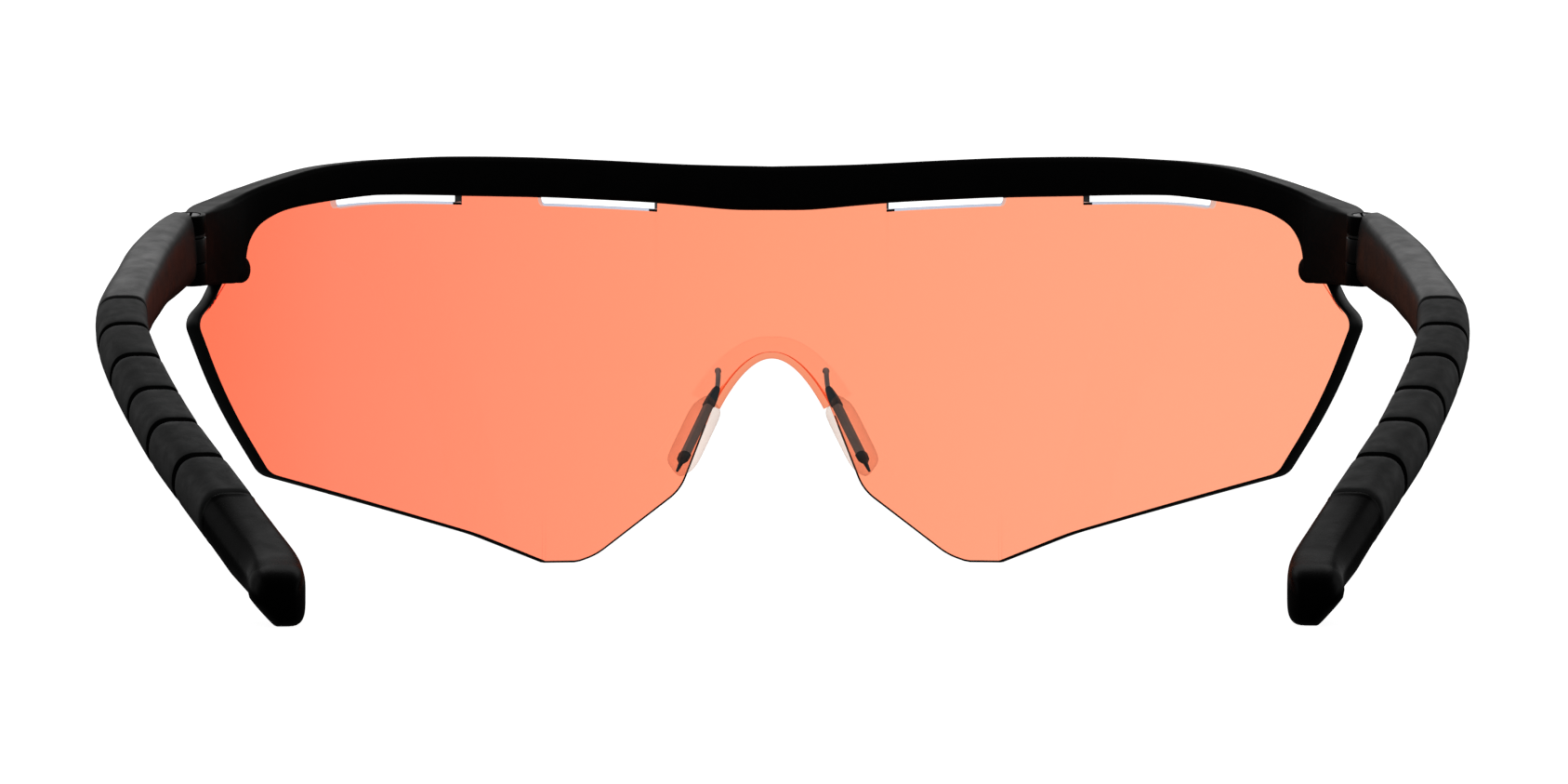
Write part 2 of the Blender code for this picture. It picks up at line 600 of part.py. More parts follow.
def pad_shell(side, label):
    """The soft pad: a flat slanted oval whose ends and edges are full and rounded."""
    top, bottom, length, thick, width = pad_frame(side)
    slant = -PAD_SLANT * MM * math.copysign(1, thick.x * side)
    steps, sides = 10, 16
    rings = []
    for i in range(steps + 1):
        place = -math.cos(math.pi * (i + 0.35) / (steps + 0.7))
        swell = (1 - abs(place) ** PAD_END) ** (1 / PAD_END)
        centre = (top + bottom) / 2 + (bottom - top) / 2 * place
        ring = []
        for k in range(sides):
            turn = 2 * math.pi * (k + 0.5) / sides
            c, s = math.cos(turn), math.sin(turn)
            c, s = math.copysign(abs(c) ** PAD_SECTION, c), math.copysign(abs(s) ** PAD_SECTION, s)
            ring.append(centre + thick * c * PAD_THICKNESS / 2 * MM * swell**PAD_EDGE
                        + width * s * PAD_WIDTH / 2 * MM * swell + length * c * slant)
        rings.append(ring)
    return add(f"{label}_nose_pad", loft(rings), "clear")


def pad_plate(name, side, grow, slot=None):
    """The carrier bar, which stands out of the pad's top, grown all round by grow."""
    top, bottom, length, thick, width = pad_frame(side)
    turn = Matrix((thick, width, length)).transposed().to_4x4()
    size = [(v + 2 * grow) * MM for v in (CORE_THICKNESS, CORE_WIDTH, CORE_BOTTOM - CORE_TOP)]
    middle = (top + bottom) / 2 + length * (CORE_TOP + CORE_BOTTOM) / 2 * MM
    bm = bmesh.new()
    place = Matrix.Translation(middle) @ turn @ Matrix.Diagonal((*size, 1))
    bmesh.ops.create_cube(bm, size=1, matrix=place)
    return add(name, bm, slot)


def nose_pad(side, label):
    pad = pad_shell(side, label)
    core = pad_plate(f"{label}_pad_core", side, 0, "plate")
    wire = add(f"{label}_pad_wire", loft(wire_rings(side, WIRE_RADIUS, WIRE_ROUTE)), "steel")
    boolean(pad, pad_plate(f"{label}_plate_room", side, CORE_ROOM), "DIFFERENCE")
    boolean(wire, core, "DIFFERENCE")


def main():
    for obj in list(bpy.data.objects):
        bpy.data.objects.remove(obj)
    shield_lens()
    brow_frame()
    nose_bridge_clip()
    for side, label in ((-1, "left"), (1, "right")):
        nose_pad(side, label)
        temple(side, label)
        hinge_hardware(side, label)


main()
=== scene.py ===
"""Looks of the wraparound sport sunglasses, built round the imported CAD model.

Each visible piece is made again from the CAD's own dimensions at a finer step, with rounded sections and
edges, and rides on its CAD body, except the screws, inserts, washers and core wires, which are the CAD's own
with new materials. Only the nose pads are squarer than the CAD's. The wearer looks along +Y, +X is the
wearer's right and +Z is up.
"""

import json
import math

import bmesh
import bpy
from mathutils import Matrix, Vector

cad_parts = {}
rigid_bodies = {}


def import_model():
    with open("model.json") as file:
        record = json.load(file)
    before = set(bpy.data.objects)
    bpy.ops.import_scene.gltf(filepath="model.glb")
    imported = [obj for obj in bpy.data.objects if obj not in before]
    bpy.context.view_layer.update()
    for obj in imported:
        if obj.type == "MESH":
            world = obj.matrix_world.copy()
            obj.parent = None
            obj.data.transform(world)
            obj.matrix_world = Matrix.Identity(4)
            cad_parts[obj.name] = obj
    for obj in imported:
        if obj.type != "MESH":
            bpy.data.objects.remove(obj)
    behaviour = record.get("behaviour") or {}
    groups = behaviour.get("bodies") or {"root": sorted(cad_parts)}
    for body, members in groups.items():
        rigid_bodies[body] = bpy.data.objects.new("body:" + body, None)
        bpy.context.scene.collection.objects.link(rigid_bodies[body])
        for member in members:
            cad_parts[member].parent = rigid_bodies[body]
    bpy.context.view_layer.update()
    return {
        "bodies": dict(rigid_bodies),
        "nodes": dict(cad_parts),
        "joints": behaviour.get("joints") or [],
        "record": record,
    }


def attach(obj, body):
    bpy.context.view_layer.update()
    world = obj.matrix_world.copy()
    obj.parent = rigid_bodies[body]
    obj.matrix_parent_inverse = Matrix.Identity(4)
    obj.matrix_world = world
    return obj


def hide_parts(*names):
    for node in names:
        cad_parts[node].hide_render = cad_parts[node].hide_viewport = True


MM = 0.001
SIDES = ((-1, "left"), (1, "right"))

# Dimensions shared with the CAD model. Values without a unit, here and below, are in mm.
# Front curve: a wide wrap, a tighter corner at each end for the frame, and a slight vertical bulge
FRONT_Y = 80.3 * MM  # lens back surface, on the centre line
WRAP_RADIUS = 90 * MM
BULGE_RADIUS, BULGE_HEIGHT = 260 * MM, 24 * MM
CORNER_RADIUS = 17 * MM
CORNER_START, CORNER_END = math.radians(43), math.radians(83)

# Lens: (x, z, corner radius) round its lower edge, (x, z) up its side, and (start, end) in x of the vents
LENS_THICKNESS = 2.2 * MM
LENS_IN_SLOT = 2.0
VENTS = [(14.0, 28.1), (37.6, 52.3)]
VENT_HEIGHT = 0.8
SLOT_TOP, LENS_TOP_SLOPE = 46.3, 1.1
NOTCH_TOP, NOTCH_SPREAD, NOTCH_END_X = 25.6, 7.65, 7.1
LENS_LOWER = [(11.1, 8.7, 6), (21.4, 0.8, 8), (25.9, -0.75, 5), (36, 3.5, 30), (59.95, 11.1, 2.5),
              (64.75, 19.8, 60), (68.0, 29.35, 2.6), (66.15, 31.7, 6)]
LENS_SIDE_TOP, LENS_SIDE_RADIUS = [(65.1, 34.2), (62.4, 39.5)], 3

# Frame: its faces' distance in front of the lens's back, and (distance along the front, z) of its edges
FRAME_INNER, FRAME_OUTER = -1.7, 3.7
END_INNER, END_OUTER = -0.7, 1.6
TAPER_START, TAPER_END = 73.5, 84.0
FRAME_TOP = [(0, 48.3), (10, 48.5), (22, 49.0), (31, 49.25), (41, 49.2), (48, 48.85), (53, 48.45), (59, 47.6),
             (65, 46.05), (69, 44.85), (73, 43.6), (77, 42.75), (81, 42.05), (86, 41.35), (92, 40.65)]
FRAME_BOTTOM = [(0, 43.05), (4.6, 43.1), (10.3, 43.6), (14, 43.9), (21, 44.25), (28, 44.5), (39, 44.6),
                (46, 44.6), (51, 44.4), (55.5, 43.9), (59, 43.4), (62, 42.9), (64.5, 42.3), (66.7, 41.4),
                (68.5, 40.3), (69.9, 38.8), (70.7, 37.2), (71.1, 35.0), (71.6, 34.0), (75, 33.7), (92, 33.0)]
LOBE_AT, LOBE_Z, LOBE_RADIUS = 71.5 * MM, 35.4 * MM, 1.6 * MM
LOBE_SHORT, LOBE_EDGE = 0.5, 0.35 * MM  # how far it ends behind the frame's face, and its rounding

# Hinges
SLOPE = math.radians(12.5)
HINGE_X, HINGE_BACK, HINGE_Z = 67.6 * MM, 41.0 * MM, 37.6 * MM
KNUCKLE_RADIUS, KNUCKLE_MIDDLE, KNUCKLE_TOP = 1.75 * MM, 1.4 * MM, 4.1 * MM
SCREW_HEAD_RADIUS, SCREW_HEAD = 1.05 * MM, 0.8 * MM
SCREW_RADIUS, INSERT_RADIUS = 0.6 * MM, 1.1 * MM
INSERT_SINK = 0.35 * MM
WASHER, FIT, GAP = 0.25 * MM, 0.15 * MM, 0.3 * MM

# Temples: (distance behind the lens, x, z, width, height)
TEMPLE = [(36, 67.9, 38.95, 2.8, 8.5), (40, 68.1, 38.15, 2.9, 8.5), (43, 68.75, 37.65, 3.7, 8.4),
          (46, 69.5, 36.95, 4.6, 8.2), (52, 70.4, 35.65, 5.2, 7.8), (60, 70.95, 34.3, 5.4, 7.1),
          (68, 71.2, 32.65, 5.4, 6.5), (76, 71.5, 30.9, 5.5, 6.1), (83, 71.6, 28.9, 5.6, 6.0),
          (91.5, 70.5, 26.1, 5.6, 6.0), (100, 68.4, 22.8, 5.6, 6.0), (108, 65.9, 19.5, 5.6, 6.0),
          (116.5, 63.1, 16.2, 5.6, 6.1), (125, 59.7, 12.7, 5.6, 6.1), (133, 56.45, 9.4, 5.6, 6.1),
          (142, 53.35, 6.4, 5.6, 6.2), (151, 50.7, 4.0, 5.6, 6.2), (158, 49.7, 2.85, 5.6, 6.0),
          (165, 49.3, 2.4, 5.6, 5.8)]
OUTER_TAPER, END_TAPER, END_TAPER_START = 0.3, 0.75, 142.0
INNER_SQUARENESS, OUTER_SQUARENESS, END_SQUARENESS = 0.5, 0.72, 1.1
ARM_START, GRIP_START, GRIP_END = 36, 83.0, 133.0
TIP_END, TIP_ROUND, TIP_SHRINK, TIP_SINK = 163.5, 6.0, 1.9, 0.6
GROOVES, GROOVE_WIDTH, GROOVE_DEPTH = 5, 1.0, 0.6
GROOVE_PITCH = (GRIP_END - GRIP_START) / (GROOVES + 1)

# Nose clip and pads; places are (x, distance behind the lens, z)
CLIP_INSIDE, CLIP_OUTSIDE, CLIP_FOOT = 0.8, 1.9, 2.9
CLIP_BACK, CLIP_FRONT = -1.2, 3.2
WIRE_RADIUS = 0.4
WIRE_ROUTE = [(6.6, 0.6, 23.3), (6.6, 3.0, 23.3), (6.6, 4.3, 23.1), (6.6, 5.6, 22.5), (6.75, 7.1, 21.2),
              (7.3, 7.8, 20.1), (8.1, 8.7, 18.4)]
PAD_TOP, PAD_BOTTOM = Vector((7.85, 8.4, 19.0)), Vector((11.25, 12.1, 12.0))
PAD_THICKNESS, PAD_WIDTH, PAD_TURN, PAD_SLANT = 3.0, 6.6, math.radians(14), 0.6

# Rounding and detail of the looks, finer than the CAD's
SHARP = 35  # angle between faces from which an edge is shown sharp, degrees
VENT_ROUND = 0.5  # radius of a vent's outer end
EDGE, SUPPORT = 0.25, 0.12  # rounding of the lens's cut edge, and the row beside it
EDGE_STEPS = [(0.3, 0.3), (1.0, 0.0)]  # share of EDGE in from the surface, and in from the outline
FAN_START = 54.0  # from here out the lens's columns lean, so that they stay square to its side
NOTCH_STEPS, EDGE_SPACING, LENS_ROWS, LEAST_COLUMN = 24, 1.5, 24, 1.0
FRAME_RUNS = [(0, 50, 1.0), (50.3, 75, 0.3), (75.7, 89, 0.7)]  # (start, end, spacing) of the frame's rings
VENT_COLUMNS = (0.04, 0.1, 0.18, 0.28, 0.38, 0.5)  # columns of the lens before a vent's outer end
VENT_WALL = 0.01  # half the distance between the two columns of a vent's end wall
FAR = 12 * MM  # reach of cutters past the hinge
ROUND_EDGE, ROOM_EDGE = 0.12 * MM, 0.02 * MM  # rounding of a turned piece's ends, and of a knuckle's room
ROOM_RADIUS, ROOM_OVERLAP = KNUCKLE_RADIUS + GAP, 0.1 * MM
RING_SPACING, TIP_SPACING = 0.8, 0.7
END_ROUNDING = [(0.0, 0.4), (0.08, 0.2), (0.25, 0.05), (0.5, 0.0)]  # (distance from a piece's end, shrink)
END_ROOM = 0.6  # length that the rounding takes up
GROOVE_COLUMNS = (0.6, 0.5, 0.4, 0.36, 0.31, 0.25, 0.15, 0.0)  # ring places beside a groove's middle
GROOVE_LIP, LIP_REACH = 0.06, 1.5  # depth of a groove's soft lip, and its reach in half widths
GROOVE_SHADE = 0.05  # depth from which a groove is shaded
TIP_INSET, TIP_NARROWING, TIP_STEPS = 0.05, 0.3, 16  # shrink of the whole tip, more of it at the end
BEAD_END = 0.04  # how far the bead's tint reaches over the lens
CLIP_SLOT, CLIP_LIP = 0.12, 0.03  # room beside the lens, and between its edge and the bead
CLIP_STEPS = 60
WIRE_HEAD, WIRE_SHARE = 10, 8  # rings at full radius at the wire's root, and rings for each route point
WIRE_THIN, WIRE_TAPER = 0.8, 0.1  # share of the radius past the root, and how much of it goes by the end
PAD_OPEN, PAD_RINGS, PAD_SIDES = 0.2, 40, 48  # share of a ring left off at each end
PAD_END, PAD_SECTION, PAD_EDGE = 5.5, 0.6, 0.6  # squareness of a pad's ends and section, softness of its edge
CORE_PROFILE = [(-7.2, 0.3, 0.3), (-6.9, 0.42, 0.42), (-5.6, 0.6, 0.7), (-4.5, 0.62, 0.9), (-4.3, 0.5, 0.85),
                (2.6, 0.5, 0.85), (2.7, 0.62, 0.9), (3.5, 0.58, 0.8), (4.0, 0.25, 0.35), (5.2, 0.14, 0.15)]
CORE_BAR = (-4.35, 2.65)  # stretch of the core that is grey, along the pad from its middle
CORE_SQUARENESS, CORE_SIDES = 0.45, 32

# Camera, and how bright the studio is
CAMERA_PLACE = Vector((-11.06, -637.7, 27.71)) * MM
CAMERA_TURN, CAMERA_TILT = math.radians(1.003), math.radians(0.5586)
CAMERA_LENS, CAMERA_SENSOR = 134.5, 36
BACKDROP = 1.3
CEILING, FAR_SIDE, NEAR_SIDE, FLOOR_BOUNCE = 0.2, 0.25, 0.06, 0.03
CEILING_LOW, CEILING_FULL, CEILING_HIGH = 0.1, 0.45, 0.85  # upward share of the direction of its glow
CEILING_LOSS, FAR_LOW = 0.95, -0.1  # share of the glow gone at the top; where the far side starts
FLOOR_GLOW = 0.92  # of the floor as the eye sees it, so that only the closest shadows show
FLOOR_SIZE, FLOOR_DROP = 40, 0.02 * MM
STUDIO_CENTRE = (0, 0.05, 0.03)  # where the lights point, m


# Meshes


def obj_from(name, bm, *materials, sharp=SHARP):
    """A bmesh as a smooth-shaded object, faces pointing out."""
    bmesh.ops.remove_doubles(bm, verts=bm.verts, dist=1e-7)
    bmesh.ops.recalc_face_normals(bm, faces=bm.faces)
    mesh = bpy.data.meshes.new(name)
    bm.to_mesh(mesh)
    bm.free()
    mesh.shade_smooth()
    mesh.set_sharp_from_angle(angle=math.radians(sharp))
    obj = bpy.data.objects.new(name, mesh)
    bpy.context.scene.collection.objects.link(obj)
    for material in materials:
        mesh.materials.append(material)
    return obj


def loft(rings, slots=None):
    """A closed bmesh through rings of equal length; slots gives the ring places of each material slot."""
    slot_of = {place: slot for slot, places in (slots or {}).items() for place in places}
    bm = bmesh.new()
    loops = [[bm.verts.new(p) for p in ring] for ring in rings]
    count = len(rings[0])
    for a, b in zip(loops, loops[1:]):
        for i in range(count):
            j = (i + 1) % count
            face = bm.faces.new((a[i], a[j], b[j], b[i]))
            face.material_index = slot_of.get(i, 0)
    for cap in (loops[0], loops[-1]):
        bm.faces.new(cap).material_index = 1 if slots else 0
    return bm


def turned(place, profile, sides=48):
    """A turned bmesh: profile is (radius, height) from the bottom to the top, about the place's Z axis."""
    rings = []
    for radius, height in profile:
        turns = [2 * math.pi * k / sides for k in range(sides)]
        rings.append([place @ Vector((radius * math.cos(t), radius * math.sin(t), height)) for t in turns])
    return loft(rings)


def chamfered(radius, low, high, edge=ROUND_EDGE):
    """Profile of a round bar with small rounded ends."""
    soft = edge * 0.3
    return [(radius - edge, low), (radius - soft, low + soft), (radius, low + edge), (radius, high - edge),
            (radius - soft, high - soft), (radius - edge, high)]


def cut_or_join(obj, steps):
    """Applies (other, operation) Booleans in order, then removes the others."""
    for other, operation in steps:
        modifier = obj.modifiers.new(other.name, "BOOLEAN")
        modifier.object = other
        modifier.operation = operation
    graph = bpy.context.evaluated_depsgraph_get()
    mesh = bpy.data.meshes.new_from_object(obj.evaluated_get(graph))
    obj.modifiers.clear()
    obj.data = mesh
    mesh.shade_smooth()
    mesh.set_sharp_from_angle(angle=math.radians(SHARP))
    for other, _ in steps:
        bpy.data.objects.remove(other)
    return obj


def smooth_through(points, at):
    """Value at one place on a smooth curve through (place, value...) rows."""
    rows = [Vector(p) for p in points]
    i = max(0, min(len(rows) - 2, sum(1 for r in rows if r[0] <= at) - 1))
    a, b = rows[i], rows[i + 1]
    before, after = rows[max(0, i - 1)], rows[min(len(rows) - 1, i + 2)]
    span = b[0] - a[0]
    t = (at - a[0]) / span
    slope_a = (b - before) / (b[0] - before[0]) * span
    slope_b = (after - a) / (after[0] - a[0]) * span
    h = (2 * t**3 - 3 * t**2 + 1, t**3 - 2 * t**2 + t, -2 * t**3 + 3 * t**2, t**3 - t**2)
    return (h[0] * a + h[1] * slope_a + h[2] * b + h[3] * slope_b)[1:]


def arc_at(before, corner, after, radius, steps):
    """Points of the arc that rounds a corner between two others."""
    here = Vector(corner)
    u, v = (Vector(before) - here).normalized(), (Vector(after) - here).normalized()
    half = u.angle(v) / 2
    reach = radius / math.tan(half)
    centre = here + (u + v).normalized() * (radius / math.sin(half))
    start, end = here + u * reach - centre, here + v * reach - centre
    sweep = -start.angle_signed(end)
    points = []
    for i in range(steps + 1):
        c, s = math.cos(sweep * i / steps), math.sin(sweep * i / steps)
        points.append((centre.x + start.x * c - start.y * s, centre.y + start.x * s + start.y * c))
    return points


def rounded(corners, steps=8, closed=False):
    """A polyline through corners (x, y, radius), each turned into an arc."""
    line = [] if closed else [corners[0][:2]]
    count = len(corners)
    for i in range(0 if closed else 1, count if closed else count - 1):
        before, corner, after = corners[i - 1], corners[i], corners[(i + 1) % count]
        line += arc_at(before[:2], corner[:2], after[:2], corner[2], steps)
    return line if closed else line + [corners[-1][:2]]


# Front curve, in metres


def bulge(z):
    return BULGE_RADIUS - math.sqrt(BULGE_RADIUS**2 - (z - BULGE_HEIGHT) ** 2)


def front_point(s, z, n, wrap_only=False):
    """The point s along the front curve from the centre line, at height z, n in front of the lens's back."""
    size, side = abs(s), math.copysign(1, s)
    turn = size / WRAP_RADIUS
    x, back = WRAP_RADIUS * math.sin(turn), WRAP_RADIUS * (1 - math.cos(turn))
    if turn > CORNER_START and not wrap_only:
        x, back = WRAP_RADIUS * math.sin(CORNER_START), WRAP_RADIUS * (1 - math.cos(CORNER_START))
        rest = size - CORNER_START * WRAP_RADIUS
        turn = min(CORNER_END, CORNER_START + rest / CORNER_RADIUS)
        x += CORNER_RADIUS * (math.sin(turn) - math.sin(CORNER_START))
        back += CORNER_RADIUS * (math.cos(CORNER_START) - math.cos(turn))
        rest -= (turn - CORNER_START) * CORNER_RADIUS
        x += rest * math.cos(turn)
        back += rest * math.sin(turn)
    return Vector((side * (x + n * math.sin(turn)), FRONT_Y - back - bulge(z) + n * math.cos(turn), z))


def arc_of(x):
    """Distance along the wrap curve, in mm, of the place that is x mm from the centre line."""
    return WRAP_RADIUS / MM * math.asin(x * MM / WRAP_RADIUS)


def frame_edge(table, s):
    return smooth_through(table, abs(s))[0]


# Lens


def notch_z(x):
    return NOTCH_TOP - x**2 / NOTCH_SPREAD


def interpolate(line, x):
    for (x0, z0), (x1, z1) in zip(line, line[1:]):
        if x0 <= x <= x1 and x1 > x0:
            return z0 + (z1 - z0) * (x - x0) / (x1 - x0)
    return line[-1][1]


def lens_edge_line():
    """Free edge of the lens from the centre line round to the top of its outer side, mm."""
    notch_places = [NOTCH_END_X * i / NOTCH_STEPS for i in range(NOTCH_STEPS)]
    notch = [(x, notch_z(x)) for x in notch_places]
    corners = [(NOTCH_END_X, notch_z(NOTCH_END_X), 0), *LENS_LOWER, (*LENS_SIDE_TOP[0], LENS_SIDE_RADIUS)]
    line = notch + rounded([*corners, (*LENS_SIDE_TOP[1], 0)])
    fine = [line[0]]
    for a, b in zip(line, line[1:]):
        count = max(1, math.ceil(math.dist(a, b) / EDGE_SPACING))
        fine += [tuple(Vector(a).lerp(Vector(b), k / count)) for k in range(1, count + 1)]
    return [(x, max(z, 0.0)) for x, z in fine]


def vent_rise(x):
    """How far a vent's lower edge comes up at x, where its outer end is round, mm; None outside the vents."""
    for start, end in VENTS:
        if start < x < end:
            reach = max(0, VENT_ROUND - (end - x))
            return 2 * (VENT_ROUND - math.sqrt(max(0, VENT_ROUND**2 - reach**2)))
    return None


def lens_top(x):
    """Upper edge of the lens at x, hidden in the frame except at the vents, mm."""
    bottom = frame_edge(FRAME_BOTTOM, arc_of(x))
    rise = vent_rise(x)
    if rise is not None:
        return bottom - VENT_HEIGHT + rise
    top_x, top_z = LENS_SIDE_TOP[-1]
    return min(bottom + LENS_IN_SLOT, SLOT_TOP, top_z + max(0, top_x - x) * LENS_TOP_SLOPE)


def lens_columns():
    """(lower, upper) point of the columns of one half of the lens, from the centre line outwards, mm."""
    line = lens_edge_line()
    inner = [p for p in line if p[0] <= FAN_START]
    outer = line[len(inner):]
    places = {round(p[0], 3) for p in inner} | {float(x) for x in range(0, int(FAN_START))}
    for start, end in VENTS:
        places |= {at + sign * VENT_WALL for at in (start, end) for sign in (-1, 1)}
        places |= {end - away for away in VENT_COLUMNS}
    columns = [((x, interpolate(inner, x)), (x, lens_top(x))) for x in sorted(places)]
    lengths = [math.dist(a, b) for a, b in zip([inner[-1], *outer], outer)]
    total, gone = sum(lengths), 0.0
    for p, length in zip(outer, lengths):
        gone += length
        x = FAN_START + (LENS_SIDE_TOP[-1][0] - FAN_START) * gone / total
        if lens_top(x) - p[1] > LEAST_COLUMN:
            columns.append((p, (x, lens_top(x))))
    return columns


def lens_ring(side, low, high, inwards):
    """Closed section of the lens at one column: up the back, over the top, down the front and under."""
    thick = LENS_THICKNESS / MM
    low, high, down = Vector(low), Vector(high), Vector((0, -1))
    start, end = low + inwards * (EDGE + SUPPORT), high + down * (EDGE + SUPPORT)
    sheet = [low + inwards * EDGE] + [start.lerp(end, k / LENS_ROWS) for k in range(LENS_ROWS + 1)]
    sheet.append(high + down * EDGE)
    section = [(p, 0) for p in sheet]
    section += [(high + down * EDGE * i, EDGE * d) for d, i in EDGE_STEPS]
    section += [(high + down * EDGE * i, thick - EDGE * d) for d, i in EDGE_STEPS[::-1]]
    section += [(p, thick) for p in sheet[::-1]]
    section += [(low + inwards * EDGE * i, thick - EDGE * d) for d, i in EDGE_STEPS]
    section += [(low + inwards * EDGE * i, EDGE * d) for d, i in EDGE_STEPS[::-1]]
    return [front_point(side * arc_of(p.x) * MM, p.y * MM, n * MM, wrap_only=True) for p, n in section]


def lens_rings(side, columns):
    """Rings of one half of the lens, each edge rounding square to the lens's outline."""
    rings = []
    for i, (low, high) in enumerate(columns):
        before, after = columns[max(0, i - 1)][0], columns[min(len(columns) - 1, i + 1)][0]
        inwards = Vector((before[1] - after[1], after[0] - before[0])).normalized()
        rings.append(lens_ring(side, low, high, Vector((0, 1)) if i == 0 else inwards))
    return rings


def shield_lens(material, edge_material, polished):
    """The lens, with a black lower edge. Its edge is clear inside the nose clip, and clear at the vents with
    a grey-blue tint that is painted shade.
    """
    columns = lens_columns()
    right, left = lens_rings(1, columns), lens_rings(-1, columns)
    steps = 2 * len(EDGE_STEPS)
    back_end = LENS_ROWS + 2
    front_end = 2 * back_end + steps + 1
    over, under = range(back_end - 1, back_end + 1 + steps), range(front_end + 1, front_end + 1 + steps)
    shell = loft(left[:0:-1] + right, {1: under, 2: over})
    lens = obj_from("shield_lens_shell", shell, material, edge_material, polished, sharp=50)
    for face in lens.data.polygons:
        x = abs(face.center.x) / MM
        in_clip = x < NOTCH_END_X + CLIP_INSIDE
        upright = abs(face.normal.z) < 0.5
        at_inner_end = any(abs(x - start) < 1 for start, _ in VENTS)
        if face.material_index == 1 and in_clip:
            face.material_index = 0
        if face.material_index == 2 and upright and at_inner_end:
            face.material_index = 1
    return lens


# Frame and hinges


def hinge_place(side):
    """Matrix of a hinge: local X is outwards, local Y runs back along the temple, local Z is the axis."""
    back = Vector((0, -math.cos(SLOPE), -math.sin(SLOPE)))
    up = Vector((0, -math.sin(SLOPE), math.cos(SLOPE)))
    turn = Matrix((Vector((side, 0, 0)), back, up)).transposed().to_4x4()
    return Matrix.Translation((side * HINGE_X, FRONT_Y - HINGE_BACK, HINGE_Z)) @ turn


def hinge_round(name, side, low, high, radius, edge=ROUND_EDGE):
    return obj_from(name, turned(hinge_place(side), chamfered(radius, low, high, edge)))


def hinge_box(name, side, low, high):
    bm = bmesh.new()
    centre, size = (Vector(low) + Vector(high)) / 2, Vector(high) - Vector(low)
    place = hinge_place(side) @ Matrix.Translation(centre) @ Matrix.Diagonal((*size, 1))
    bmesh.ops.create_cube(bm, size=1, matrix=place)
    return obj_from(name, bm)


def frame_ring(s):
    """Section of the frame: flat inside, crowned outside, with a wide soft upper outer edge."""
    top, bottom = frame_edge(FRAME_TOP, s), frame_edge(FRAME_BOTTOM, s)
    taper = min(1, max(0, (abs(s) - TAPER_START) / (TAPER_END - TAPER_START)))
    taper = taper * taper * (3 - 2 * taper)
    inner = FRAME_INNER + (END_INNER - FRAME_INNER) * taper
    outer = FRAME_OUTER + (END_OUTER - FRAME_OUTER) * taper
    soft = 1 - 0.5 * taper
    # (distance in front of the lens's back, z, radius), mm
    corners = [(inner, bottom, 0.45 * soft), (outer - 0.2, bottom, 0.5 * soft),
               (outer, bottom + (top - bottom) * 0.45, 2.5), (outer - 0.35 * soft, top, 1.3 * soft),
               (inner + 0.1, top, 0.7 * soft)]
    section = rounded(corners, steps=7, closed=True)
    return [front_point(s * MM, z * MM, n * MM) for n, z in section]


def frame_lobe(side):
    """The round catch at the lower inner corner of each lug."""
    s = side * LOBE_AT
    near, far = FRAME_INNER * MM, (FRAME_OUTER - LOBE_SHORT) * MM
    start, end = front_point(s, LOBE_Z, near), front_point(s, LOBE_Z, far)
    axis = end - start
    place = Matrix.Translation(start) @ axis.to_track_quat("Z", "Y").to_matrix().to_4x4()
    return obj_from("lobe", turned(place, chamfered(LOBE_RADIUS, 0, axis.length, LOBE_EDGE), 32))


def frame_hinge_steps(side):
    """What is joined to the frame and cut from it at one hinge, in order."""
    room_low, room_high = -KNUCKLE_MIDDLE - FIT, KNUCKLE_MIDDLE + WASHER + 2 * FIT
    head_low, insert_high = KNUCKLE_TOP - SCREW_HEAD - FIT, -KNUCKLE_MIDDLE - INSERT_SINK
    return [
        (frame_lobe(side), "UNION"),
        (hinge_box("end", side, (-FAR, -FIT, -FAR), (FAR, FAR, FAR)), "DIFFERENCE"),
        (hinge_round("room", side, room_low, room_high, ROOM_RADIUS, ROOM_EDGE), "DIFFERENCE"),
        (hinge_round("upper", side, room_high, KNUCKLE_TOP, KNUCKLE_RADIUS), "UNION"),
        (hinge_round("lower", side, -KNUCKLE_TOP, room_low, KNUCKLE_RADIUS), "UNION"),
        (hinge_round("shank", side, -FAR, FAR, SCREW_RADIUS + FIT), "DIFFERENCE"),
        (hinge_round("head", side, head_low, FAR, SCREW_HEAD_RADIUS + FIT), "DIFFERENCE"),
        (hinge_round("insert", side, -FAR, insert_high, INSERT_RADIUS + FIT), "DIFFERENCE"),
    ]


def brow_frame(material):
    """The frame, both halves in one, with its lobes and hinge knuckles."""
    places = [s for stretch in FRAME_RUNS for s in run(*stretch)]
    stations = [-s for s in places[:0:-1]] + places
    frame = obj_from("brow_frame_shell", loft([frame_ring(s) for s in stations]), material)
    return cut_or_join(frame, [step for side, _ in SIDES for step in frame_hinge_steps(side)])


# Temples


def temple_ring(side, d, shrink=0.0, sink=0.0, sides=48):
    """Section at distance d behind the lens: flat inside, rounder outside, narrow at its lower outer part."""
    x, z, width, height = smooth_through(TEMPLE, d)
    before, after = smooth_through(TEMPLE, d - 0.5), smooth_through(TEMPLE, d + 0.5)
    line = Vector((after[0] - before[0], -1, after[1] - before[1])).normalized()
    inwards = line.cross(Vector((0, 0, 1))).normalized()
    up = inwards.cross(line)
    centre = Vector((x, FRONT_Y / MM - d, z)) + (inwards - up) * sink
    a, b = width / 2 - shrink, height / 2 - shrink
    end = min(1, max(0, (d - END_TAPER_START) / (TIP_END - END_TAPER_START)))
    taper = OUTER_TAPER + (END_TAPER - OUTER_TAPER) * end
    ring = []
    for i in range(sides):
        turn = 2 * math.pi * (i + 0.5) / sides
        c, s = math.cos(turn), math.sin(turn)
        power = INNER_SQUARENESS if c > 0 else OUTER_SQUARENESS
        if c < 0 and s < 0:
            power += (END_SQUARENESS - OUTER_SQUARENESS) * end
        narrow = 1 - taper * max(0, -s) if c < 0 else 1
        p = centre + inwards * a * narrow * math.copysign(abs(c) ** power, c)
        p += up * b * math.copysign(abs(s) ** power, s)
        ring.append(Vector((p.x * side, p.y, p.z)) * MM)
    return ring


